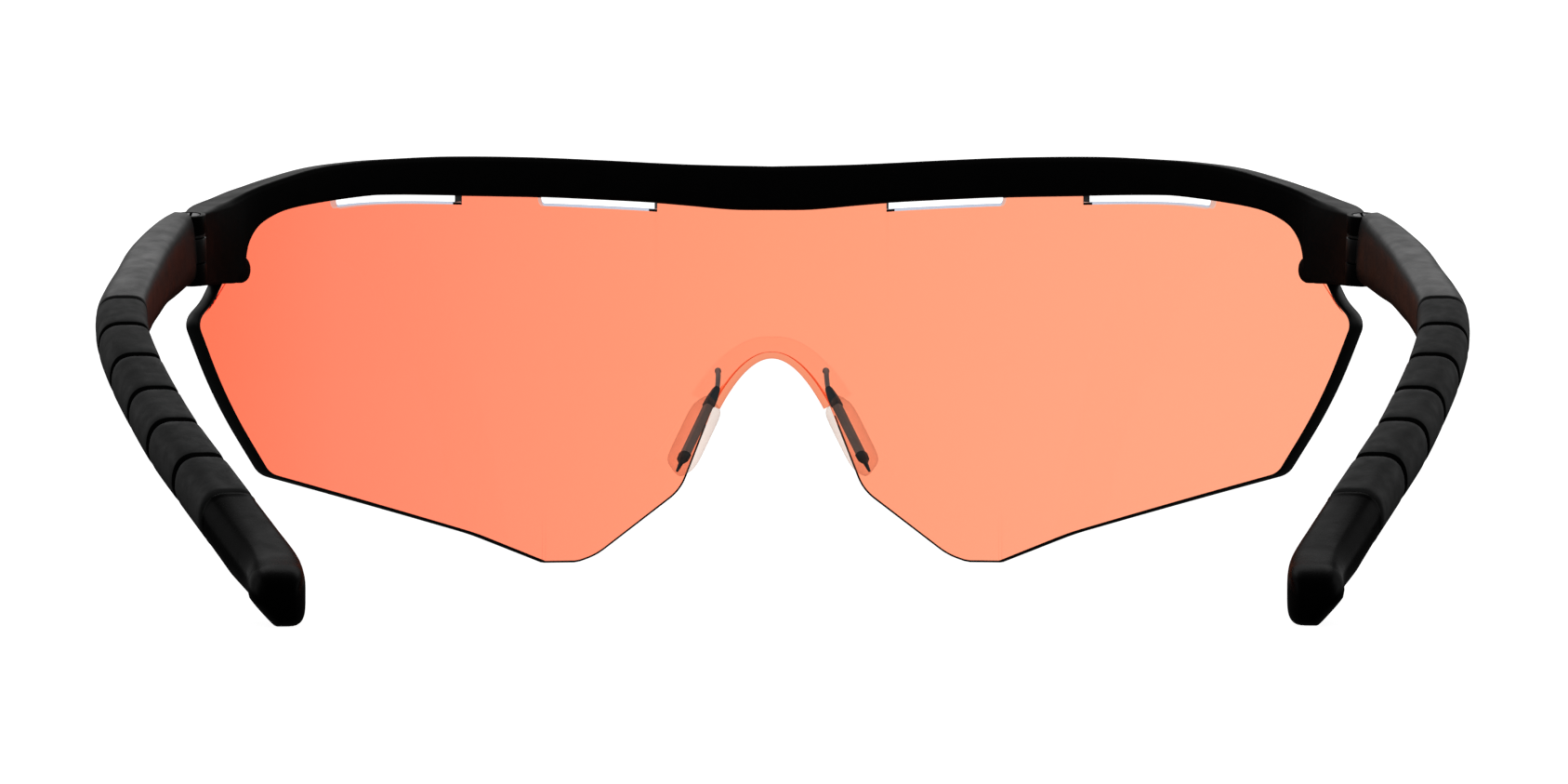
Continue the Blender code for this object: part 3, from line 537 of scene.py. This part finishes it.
def run(start, end, step):
    """Evenly spaced places from start to end, about a step apart."""
    count = max(1, round((end - start) / step))
    return [start + (end - start) * k / count for k in range(count + 1)]


def end_rings(side, at, direction):
    """Rings that round a piece's end at distance at; direction is 1 where the piece runs on behind it."""
    rings = [temple_ring(side, at + direction * d, shrink) for d, shrink in END_ROUNDING]
    return rings if direction > 0 else rings[::-1]


def temple_arm(side, label, material):
    """A temple's front run, with its middle knuckle."""
    end = GRIP_START - GAP / MM
    rings = [temple_ring(side, d) for d in run(ARM_START, end - END_ROOM, RING_SPACING)]
    rings += end_rings(side, end, -1)
    arm = obj_from(f"{label}_arm_shell", loft(rings), material)
    stub = KNUCKLE_MIDDLE - ROOM_OVERLAP
    steps = [(hinge_box("ahead", side, (-FAR, -FAR, -FAR), (FAR, FIT, FAR)), "DIFFERENCE")]
    for low, high in ((stub, FAR), (-FAR, -stub)):
        steps.append((hinge_round("room", side, low, high, ROOM_RADIUS, ROOM_EDGE), "DIFFERENCE"))
    steps.append((hinge_round("middle", side, -KNUCKLE_MIDDLE, KNUCKLE_MIDDLE, KNUCKLE_RADIUS), "UNION"))
    steps.append((hinge_round("bore", side, -FAR, FAR, SCREW_RADIUS + FIT), "DIFFERENCE"))
    return cut_or_join(arm, steps)


def groove_dip(d):
    """Depth of the sleeve's grooves at distance d, mm, with soft lips."""
    nearest = round((d - GRIP_START) / GROOVE_PITCH)
    if not 1 <= nearest <= GROOVES:
        return 0.0
    away = abs(d - GRIP_START - nearest * GROOVE_PITCH) / (GROOVE_WIDTH / 2)
    if away >= LIP_REACH:
        return 0.0
    if away > 1:
        return GROOVE_LIP * (LIP_REACH - away) / (LIP_REACH - 1)
    return GROOVE_LIP + (GROOVE_DEPTH - GROOVE_LIP) * (1 - away**4)


def grip_sleeve(side, label, material, shaded):
    """The ribbed sleeve; the floors of its grooves take a near-black material, painted shade for the dark in
    the grooves.
    """
    places = set(run(GRIP_START + RING_SPACING, GRIP_END - RING_SPACING, RING_SPACING))
    for i in range(1, GROOVES + 1):
        middle = GRIP_START + GROOVE_PITCH * i
        places = {d for d in places if abs(d - middle) > LIP_REACH * GROOVE_WIDTH / 2}
        places |= {middle + sign * away for away in GROOVE_COLUMNS for sign in (-1, 1)}
    places = sorted(places)
    rings = end_rings(side, GRIP_START, 1)
    first = len(rings)
    rings += [temple_ring(side, d, groove_dip(d)) for d in places]
    rings += end_rings(side, GRIP_END, -1)
    sleeve = obj_from(f"{label}_sleeve_shell", loft(rings), material, shaded, sharp=60)
    count = len(rings[0])
    for index, face in enumerate(sleeve.data.polygons):
        row = index // count - first
        if 0 <= row < len(places) - 1:
            middle = (places[row] + places[row + 1]) / 2
            face.material_index = 1 if groove_dip(middle) > GROOVE_SHADE else 0
    return sleeve


def temple_tip(side, label, material):
    """A temple's closed end, which stands on the floor."""
    start = GRIP_END + GAP / MM
    rings = end_rings(side, start, 1)
    places = run(start + RING_SPACING, TIP_END - TIP_ROUND, TIP_SPACING)
    rings += [temple_ring(side, d, TIP_INSET) for d in places]
    for k in range(1, TIP_STEPS + 1):
        turn = math.pi / 2 * k / TIP_STEPS
        closing = 1 - math.cos(turn)
        d = TIP_END - TIP_ROUND * (1 - math.sin(turn))
        shrink = TIP_INSET + (TIP_SHRINK + TIP_NARROWING) * closing
        rings.append(temple_ring(side, d, shrink, TIP_SINK * closing))
    tip = obj_from(f"{label}_tip_shell", loft(rings), material, sharp=60)
    for vertex in tip.data.vertices:
        vertex.co.z = max(vertex.co.z, 0.0)
    return tip


# Nose clip and pads


def clip_place(share, offset, foot_offset):
    """The point (x, z) beside the notch edge in mm; share runs from -1 at one foot over the top to 1."""
    x = NOTCH_END_X * abs(share)
    normal = Vector((2 * x / NOTCH_SPREAD, 1)).normalized()
    away = offset + (foot_offset - offset) * abs(share)
    return math.copysign(1, share) * (x + normal.x * away), notch_z(x) + normal.y * away


def split_at(section, offset):
    """Adds a point wherever the section crosses the given offset."""
    split = []
    for (a, n), (b, m) in zip(section, section[1:] + section[:1]):
        split.append((a, n))
        if (a - offset) * (b - offset) < 0:
            split.append((offset, n + (m - n) * (offset - a) / (b - a)))
    return split


def nose_clip(clear, tinted):
    """A channel round the notch's edge: two clear flanges, and the tinted bead that joins them."""
    back, front = -CLIP_SLOT, LENS_THICKNESS / MM + CLIP_SLOT
    bead, flange, root = 0.6, 0.25, 0.1
    corners = [(-CLIP_INSIDE, CLIP_BACK, bead), (-CLIP_INSIDE, CLIP_FRONT, bead),
               (CLIP_OUTSIDE, CLIP_FRONT, flange), (CLIP_OUTSIDE, front, flange), (-CLIP_LIP, front, root),
               (-CLIP_LIP, back, root), (CLIP_OUTSIDE, back, flange), (CLIP_OUTSIDE, CLIP_BACK, flange)]
    section = split_at(rounded(corners, steps=5, closed=True), BEAD_END)
    widening = (CLIP_FOOT + CLIP_INSIDE) / (CLIP_OUTSIDE + CLIP_INSIDE)
    rings = []
    for k in range(-CLIP_STEPS, CLIP_STEPS + 1):
        ring = []
        for offset, n in section:
            x, z = clip_place(k / CLIP_STEPS, offset, -CLIP_INSIDE + (offset + CLIP_INSIDE) * widening)
            ring.append(front_point(math.copysign(arc_of(abs(x)), x) * MM, z * MM, n * MM, wrap_only=True))
        rings.append(ring)
    clip = obj_from("nose_clip_shell", loft(rings), clear, tinted, sharp=50)
    count = len(section)
    in_bead = {i for i in range(count) if (section[i][0] + section[(i + 1) % count][0]) / 2 < BEAD_END}
    ends = count * (len(rings) - 1)
    for index, face in enumerate(clip.data.polygons):
        face.material_index = 1 if index < ends and index % count in in_bead else 0
    return clip


def pad_point(side, p):
    """A place given as x, distance behind the lens and z in mm."""
    return Vector((side * p[0], FRONT_Y / MM - p[1], p[2])) * MM


def tube(points, radii, sides=16):
    """A round bar through the points, with a radius for each."""
    rings = []
    for i, (p, radius) in enumerate(zip(points, radii)):
        line = (points[min(i + 1, len(points) - 1)] - points[max(i - 1, 0)]).normalized()
        across = line.cross(Vector((1, 0, 0))).normalized()
        up = across.cross(line)
        turns = [2 * math.pi * k / sides for k in range(sides)]
        rings.append([p + (across * math.cos(t) + up * math.sin(t)) * radius for t in turns])
    return loft(rings)


def pad_wire(side, label, material):
    """The bent wire from the clip to a pad, a little thinner past its root."""
    rows = [(i, *p) for i, p in enumerate(WIRE_ROUTE)]
    steps = WIRE_SHARE * (len(WIRE_ROUTE) - 1)
    points = [pad_point(side, smooth_through(rows, i * (len(rows) - 1) / steps)) for i in range(steps + 1)]
    shares = [1.0 if i < WIRE_HEAD else WIRE_THIN - WIRE_TAPER * i / steps for i in range(steps + 1)]
    radii = [WIRE_RADIUS * MM * share for share in shares]
    return obj_from(f"{label}_wire_shell", tube(points, radii), material)


def pad_frame(side):
    """Ends of a pad and its length, thickness and width directions."""
    top, bottom = pad_point(side, PAD_TOP), pad_point(side, PAD_BOTTOM)
    length = (bottom - top).normalized()
    width = (Vector((0, -1, 0)) - length * length.dot(Vector((0, -1, 0)))).normalized()
    width.rotate(Matrix.Rotation(side * PAD_TURN, 3, length))
    return top, bottom, length, length.cross(width), width


def squared(turn, power):
    """Cosine and sine of a rounded square instead of a circle, for powers under 1."""
    c, s = math.cos(turn), math.sin(turn)
    return math.copysign(abs(c) ** power, c), math.copysign(abs(s) ** power, s)


def nose_pad(side, label, material):
    """A soft flat pad with square-cut ends. Its faces are shifted along it, so that it looks slanted."""
    top, bottom, length, thick, width = pad_frame(side)
    slant = -PAD_SLANT * MM * math.copysign(1, thick.x * side)
    rings = []
    for i in range(PAD_RINGS + 1):
        place = -math.cos(math.pi * (i + PAD_OPEN) / (PAD_RINGS + 2 * PAD_OPEN))
        swell = (1 - abs(place) ** PAD_END) ** (1 / PAD_END)
        centre = (top + bottom) / 2 + (bottom - top) / 2 * place
        ring = []
        for k in range(PAD_SIDES):
            c, s = squared(2 * math.pi * (k + 0.5) / PAD_SIDES, PAD_SECTION)
            ring.append(centre + thick * c * PAD_THICKNESS / 2 * MM * swell**PAD_EDGE
                        + width * s * PAD_WIDTH / 2 * MM * swell + length * c * slant)
        rings.append(ring)
    return obj_from(f"{label}_pad_shell", loft(rings), material, sharp=60)


def pad_core(side, label, plate, dark):
    """The carrier in a pad: a dark cone round the wire's end, a grey bar and a dark foot with a tail."""
    top, bottom, length, thick, width = pad_frame(side)
    middle = (top + bottom) / 2
    rings = []
    for along, half_thick, half_width in CORE_PROFILE:
        ring = []
        for k in range(CORE_SIDES):
            c, s = squared(2 * math.pi * (k + 0.5) / CORE_SIDES, CORE_SQUARENESS)
            ring.append(middle + length * along * MM + thick * c * half_thick * MM
                        + width * s * half_width * MM)
        rings.append(ring)
    core = obj_from(f"{label}_core_shell", loft(rings), plate, dark)
    for face in core.data.polygons:
        along = (face.center - middle).dot(length) / MM
        face.material_index = 0 if CORE_BAR[0] < along < CORE_BAR[1] else 1
    return core


# Materials


class Look:
    """A Principled material, with the nodes that give its surface detail."""

    def __init__(self, name, colour, roughness, **values):
        self.material = bpy.data.materials.new(name)
        self.material.use_nodes = True
        self.tree = self.material.node_tree
        self.shader = self.tree.nodes["Principled BSDF"]
        self.shader.inputs["Base Color"].default_value = (*colour, 1)
        self.shader.inputs["Roughness"].default_value = roughness
        for key, value in values.items():
            self.shader.inputs[key.replace("_", " ")].default_value = value
        self.coords = self.tree.nodes.new("ShaderNodeTexCoord").outputs["Object"]

    def node(self, kind, **values):
        made = self.tree.nodes.new(kind)
        for key, value in values.items():
            made.inputs[key.replace("_", " ")].default_value = value
        return made

    def link(self, source, target):
        self.tree.links.new(source, target)

    def noise(self, scale, detail=4.0):
        """A noise pattern in the piece's own space, scale to the metre."""
        made = self.node("ShaderNodeTexNoise", Scale=scale, Detail=detail)
        self.link(self.coords, made.inputs["Vector"])
        return made.outputs["Fac"]

    def vary(self, socket, source, low, high, start=0.3, end=0.7):
        """Drives a shader number between low and high."""
        mapped = self.node("ShaderNodeMapRange", From_Min=start, From_Max=end, To_Min=low, To_Max=high)
        self.link(source, mapped.inputs["Value"])
        self.link(mapped.outputs["Result"], self.shader.inputs[socket])

    def colours(self, source, *stops):
        """Drives the base colour through (place, colour) stops."""
        ramp = self.tree.nodes.new("ShaderNodeValToRGB")
        elements = ramp.color_ramp.elements
        while len(elements) < len(stops):
            elements.new(0.5)
        for element, (place, colour) in zip(elements, stops):
            element.position = place
            element.color = (*colour, 1)
        self.link(source, ramp.inputs["Fac"])
        self.link(ramp.outputs["Color"], self.shader.inputs["Base Color"])

    def bump(self, source, depth):
        """Roughens the surface; depth is in metres."""
        made = self.node("ShaderNodeBump", Distance=depth, Strength=1.0)
        self.link(source, made.inputs["Height"])
        self.link(made.outputs["Normal"], self.shader.inputs["Normal"])


def nylon_look(name, gloss):
    """Satin black nylon with the fine spark-eroded grain of a moulding."""
    look = Look(name, (0.003, 0.003, 0.0032), 0.42, Specular_IOR_Level=gloss)
    look.colours(look.noise(180), (0.3, (0.0024, 0.0024, 0.0026)), (0.75, (0.0038, 0.0038, 0.004)))
    look.vary("Roughness", look.noise(420), 0.36, 0.48)
    look.bump(look.noise(3200, 2.0), 0.012 * MM)
    return look.material


def rubber_look(name, shade, gloss):
    """Soft matte charcoal rubber with a dry, slightly uneven skin; shade scales its colour, and a low one
    gives painted shade.
    """
    look = Look(name, (0.026, 0.027, 0.027), 0.75, Specular_IOR_Level=gloss)
    low, high = (0.021, 0.022, 0.0222), (0.031, 0.032, 0.032)
    look.colours(look.noise(260), (0.3, [shade * c for c in low]), (0.75, [shade * c for c in high]))
    look.vary("Roughness", look.noise(700), 0.62, 0.78)
    look.bump(look.noise(2600, 3.0), 0.02 * MM)
    return look.material


def tip_look():
    """Smooth black with faint handling marks and very little gloss."""
    look = Look("tip_black", (0.002, 0.002, 0.002), 0.3, Specular_IOR_Level=0.006)
    look.colours(look.noise(150), (0.3, (0.0012, 0.0012, 0.0012)), (0.8, (0.0026, 0.0026, 0.0026)))
    look.vary("Roughness", look.noise(320), 0.2, 0.32)
    look.bump(look.noise(1800, 2.0), 0.006 * MM)
    return look.material


LENS_HALF = 0.066  # half the width over which the lens's tint changes, m
LENS_TINTS = [(0.0, (0.95, 0.168, 0.089)), (0.1, (0.95, 0.208, 0.121)), (0.25, (0.95, 0.242, 0.14)),
              (0.5, (0.95, 0.287, 0.161)), (0.75, (0.95, 0.313, 0.184)), (1.0, (0.95, 0.337, 0.2))]


def lens_look():
    """Orange polycarbonate, polished; its colour runs darker towards the wearer's left."""
    look = Look("lens_tint", LENS_TINTS[2][1], 0.0, Transmission_Weight=1.0, IOR=1.5)
    across = look.node("ShaderNodeSeparateXYZ")
    look.link(look.coords, across.inputs["Vector"])
    share = look.node("ShaderNodeMapRange", From_Min=-LENS_HALF, From_Max=LENS_HALF)
    look.link(across.outputs["X"], share.inputs["Value"])
    look.colours(share.outputs["Result"], *LENS_TINTS)
    look.vary("Roughness", look.noise(90), 0.0, 0.02)
    return look.material


def edge_look():
    """The lens's cut edge, near black."""
    look = Look("lens_edge", (0.004, 0.006, 0.005), 0.35)
    look.colours(look.noise(300), (0.3, (0.003, 0.005, 0.004)), (0.7, (0.007, 0.01, 0.009)))
    look.vary("Roughness", look.noise(600), 0.3, 0.45)
    return look.material


def clear_look(name, tint, colour, roughness, low, high):
    """Clear plastic or silicone: mostly see-through, more solid where it is seen edge-on."""
    look = Look(name, colour, roughness)
    darker = tuple(c * 0.85 for c in colour)
    look.colours(look.noise(500), (0.3, darker), (0.7, colour))
    look.vary("Roughness", look.noise(900), roughness - 0.05, roughness + 0.08)
    clear = look.tree.nodes.new("ShaderNodeBsdfTransparent")
    clear.inputs["Color"].default_value = (*tint, 1)
    facing = look.node("ShaderNodeLayerWeight", Blend=0.3)
    share = look.node("ShaderNodeMapRange", From_Min=0.0, From_Max=1.0, To_Min=low, To_Max=high)
    mix = look.tree.nodes.new("ShaderNodeMixShader")
    output = look.tree.nodes["Material Output"]
    look.link(facing.outputs["Facing"], share.inputs["Value"])
    look.link(share.outputs["Result"], mix.inputs["Fac"])
    look.link(clear.outputs[0], mix.inputs[1])
    look.link(look.shader.outputs[0], mix.inputs[2])
    look.link(mix.outputs[0], output.inputs["Surface"])
    return look.material


def metal_look(name, colour, roughness):
    """Turned or drawn metal with fine scratches of roughness."""
    look = Look(name, colour, roughness, Metallic=1.0)
    look.vary("Roughness", look.noise(1500), roughness - 0.08, roughness + 0.1)
    look.bump(look.noise(4000), 0.004 * MM)
    return look.material


def plastic_look(name, colour, roughness):
    """Moulded plastic, slightly cloudy in colour and gloss."""
    look = Look(name, colour, roughness)
    darker = tuple(c * 0.8 for c in colour)
    look.colours(look.noise(400), (0.3, darker), (0.7, colour))
    look.vary("Roughness", look.noise(800), roughness - 0.08, roughness + 0.08)
    return look.material


# Stage


def primary_ray(tree):
    """1 where the eye looks straight or through something clear, 0 on bounced light."""
    path = tree.nodes.new("ShaderNodeLightPath")
    bounces = math_node(tree, "ADD", path.outputs["Glossy Depth"], path.outputs["Diffuse Depth"])
    unbounced = math_node(tree, "LESS_THAN", bounces, 0.5)
    through = math_node(tree, "MULTIPLY", path.outputs["Is Transmission Ray"], unbounced)
    return path, through, math_node(tree, "MAXIMUM", path.outputs["Is Camera Ray"], through)


def math_node(tree, operation, *values):
    """A Math node fed with numbers or sockets; gives its output."""
    made = tree.nodes.new("ShaderNodeMath")
    made.operation = operation
    for socket, value in zip(made.inputs, values):
        if isinstance(value, (int, float)):
            socket.default_value = value
        else:
            tree.links.new(value, socket)
    return made.outputs[0]


def mixed(tree, factor, a, b):
    mix = tree.nodes.new("ShaderNodeMixShader")
    tree.links.new(factor, mix.inputs["Fac"])
    tree.links.new(a.outputs[0], mix.inputs[1])
    tree.links.new(b.outputs[0], mix.inputs[2])
    return mix


def stage_floor():
    """A wide white floor. It shows only the closest shadows, and throws little light up at the glasses."""
    bm = bmesh.new()
    bmesh.ops.create_grid(bm, x_segments=2, y_segments=2, size=FLOOR_SIZE)
    material = bpy.data.materials.new("floor_white")
    material.use_nodes = True
    tree = material.node_tree
    tree.nodes.clear()
    path, through, _ = primary_ray(tree)
    glow = {}
    for name, strength in (("through", BACKDROP), ("seen", FLOOR_GLOW), ("bounced", FLOOR_BOUNCE)):
        glow[name] = tree.nodes.new("ShaderNodeEmission")
        glow[name].inputs["Strength"].default_value = strength
    matte = tree.nodes.new("ShaderNodeBsdfDiffuse")
    matte.inputs["Color"].default_value = (0.9, 0.9, 0.9, 1)
    seen = tree.nodes.new("ShaderNodeAddShader")
    tree.links.new(glow["seen"].outputs[0], seen.inputs[0])
    tree.links.new(matte.outputs[0], seen.inputs[1])
    direct = mixed(tree, path.outputs["Is Camera Ray"], glow["bounced"], seen)
    whole = mixed(tree, through, direct, glow["through"])
    output = tree.nodes.new("ShaderNodeOutputMaterial")
    tree.links.new(whole.outputs[0], output.inputs["Surface"])
    floor = obj_from("floor", bm, material)
    floor.location.z = -FLOOR_DROP


def spread(tree, source, start, end, low, high):
    """Maps a socket from start..end to low..high."""
    made = tree.nodes.new("ShaderNodeMapRange")
    for key, value in (("From Min", start), ("From Max", end), ("To Min", low), ("To Max", high)):
        made.inputs[key].default_value = value
    tree.links.new(source, made.inputs["Value"])
    return made.outputs["Result"]


def studio_world():
    """White backdrop all round to the eye; to light, a bright far side and a dark near side and zenith."""
    world = bpy.data.worlds.new("studio")
    bpy.context.scene.world = world
    world.use_nodes = True
    tree = world.node_tree
    tree.nodes.clear()
    coords = tree.nodes.new("ShaderNodeTexCoord")
    split = tree.nodes.new("ShaderNodeSeparateXYZ")
    tree.links.new(coords.outputs["Generated"], split.inputs["Vector"])
    rise = spread(tree, split.outputs["Z"], CEILING_LOW, CEILING_FULL, 0.0, CEILING)
    fall = spread(tree, split.outputs["Z"], CEILING_FULL, CEILING_HIGH, 0.0, CEILING * CEILING_LOSS)
    ceiling = math_node(tree, "SUBTRACT", rise, fall)
    far_side = spread(tree, split.outputs["Y"], FAR_LOW, 1.0, NEAR_SIDE, FAR_SIDE)
    light = math_node(tree, "ADD", ceiling, far_side)
    direct = primary_ray(tree)[2]
    strength = tree.nodes.new("ShaderNodeMix")
    strength.inputs["B"].default_value = BACKDROP
    tree.links.new(direct, strength.inputs["Factor"])
    tree.links.new(light, strength.inputs["A"])
    background = tree.nodes.new("ShaderNodeBackground")
    background.inputs["Color"].default_value = (1, 1, 1, 1)
    tree.links.new(strength.outputs["Result"], background.inputs["Strength"])
    output = tree.nodes.new("ShaderNodeOutputWorld")
    tree.links.new(background.outputs[0], output.inputs["Surface"])


def softbox(name, place, size, power):
    """A rectangular light aimed at the glasses, unseen by the camera and through the lens; m and W."""
    lamp = bpy.data.lights.new(name, "AREA")
    lamp.shape = "RECTANGLE"
    lamp.size, lamp.size_y = size
    lamp.energy = power
    obj = bpy.data.objects.new(name, lamp)
    bpy.context.scene.collection.objects.link(obj)
    obj.location = place
    obj.rotation_euler = (Vector(STUDIO_CENTRE) - Vector(place)).to_track_quat("-Z", "Y").to_euler()
    obj.visible_camera = False
    obj.visible_transmission = False


def lights():
    softbox("far_box", (0, 0.95, 0.62), (0.9, 0.3), 0.8)
    for side, label in SIDES:
        softbox(f"{label}_box", (0.7 * side, 0.45, 0.3), (0.3, 0.5), 0.25)


def camera():
    data = bpy.data.cameras.new("camera")
    data.lens = CAMERA_LENS
    data.sensor_width = CAMERA_SENSOR
    data.clip_start, data.clip_end = 0.01, 100
    obj = bpy.data.objects.new("camera", data)
    bpy.context.scene.collection.objects.link(obj)
    obj.location = CAMERA_PLACE
    obj.rotation_euler = (math.pi / 2 - CAMERA_TILT, 0, -CAMERA_TURN)
    bpy.context.scene.camera = obj


# Putting it together


def place(piece, body, slot, *nodes):
    """Lets a piece ride its CAD body in place of the CAD nodes it shows."""
    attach(piece, body)
    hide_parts(*nodes)


def carry_over(frame, node, material):
    """A CAD node that is shown as it is, with a better material."""
    obj = frame["nodes"][node]
    obj.data.materials.clear()
    obj.data.materials.append(material)


def front_pieces():
    """The lens, the frame and the clip, which stay still."""
    # the vents' cut edge: clear plastic, its grey-blue tint painted shade on the edge
    polished = clear_look("vent_edge_painted_shade", (0.7, 0.73, 0.8), (0.62, 0.66, 0.75), 0.2, 0.05, 0.2)
    lens = shield_lens(lens_look(), edge_look(), polished)
    lens.visible_shadow = False
    place(lens, "front", "lens", "shield_lens")
    place(brow_frame(nylon_look("frame_nylon", 0.1)), "front", "nylon", "brow_frame")
    clear = clear_look("clip_clear", (0.995, 0.985, 0.98), (0.9, 0.6, 0.5), 0.12, 0.01, 0.08)
    tinted = clear_look("clip_tinted", (0.96, 0.55, 0.41), (0.8, 0.25, 0.15), 0.15, 0.03, 0.15)
    place(nose_clip(clear, tinted), "front", "clear_clip", "nose_bridge_clip")


def side_pieces():
    """The temples, which fold, and the nose pads, which turn a little."""
    nylon, tip = nylon_look("temple_nylon", 0.5), tip_look()
    # the second rubber, at a tenth of the sleeve's brightness, is painted shade on the grooves' floors
    rubber, groove = rubber_look("sleeve_rubber", 1.2, 0.6), rubber_look("groove_painted_shade", 0.12, 0.1)
    silicone = clear_look("pad_silicone", (0.99, 0.92, 0.88), (0.9, 0.6, 0.5), 0.22, 0.06, 0.3)
    # the steel pad wires are drawn as pale matte plastic; the pale colour is painted reflection, in place of
    # what the metal would mirror
    wire = plastic_look("wire_painted_reflection", (0.8, 0.68, 0.64), 0.4)
    plate = plastic_look("plate_grey", (0.95, 0.82, 0.78), 0.4)
    dark = plastic_look("plate_dark", (0.13, 0.18, 0.2), 0.35)
    for side, label in SIDES:
        temple, pad = f"{label}_temple", f"{label}_pad"
        place(temple_arm(side, label, nylon), temple, "nylon", f"{label}_temple_arm")
        place(grip_sleeve(side, label, rubber, groove), temple, "rubber", f"{label}_grip_sleeve")
        place(temple_tip(side, label, tip), temple, "tip", f"{label}_temple_tip")
        place(nose_pad(side, label, silicone), pad, "silicone", f"{label}_nose_pad")
        place(pad_core(side, label, plate, dark), pad, "pad_plate", f"{label}_pad_core")
        place(pad_wire(side, label, wire), pad, "wire_steel", f"{label}_pad_wire")


def hinge_pieces(frame):
    steel = metal_look("screw_steel", (0.1, 0.1, 0.105), 0.35)
    brass = metal_look("insert_brass", (0.72, 0.53, 0.25), 0.35)
    washer = plastic_look("washer_nylon", (0.05, 0.05, 0.05), 0.5)
    for _, label in SIDES:
        carry_over(frame, f"{label}_hinge_screw", steel)
        carry_over(frame, f"{label}_core_wire", steel)
        carry_over(frame, f"{label}_hinge_insert", brass)
        carry_over(frame, f"{label}_hinge_washer", washer)


def main():
    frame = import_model()
    bpy.context.scene.view_settings.view_transform = "Standard"
    front_pieces()
    side_pieces()
    hinge_pieces(frame)
    stage_floor()
    studio_world()
    lights()
    camera()


main()
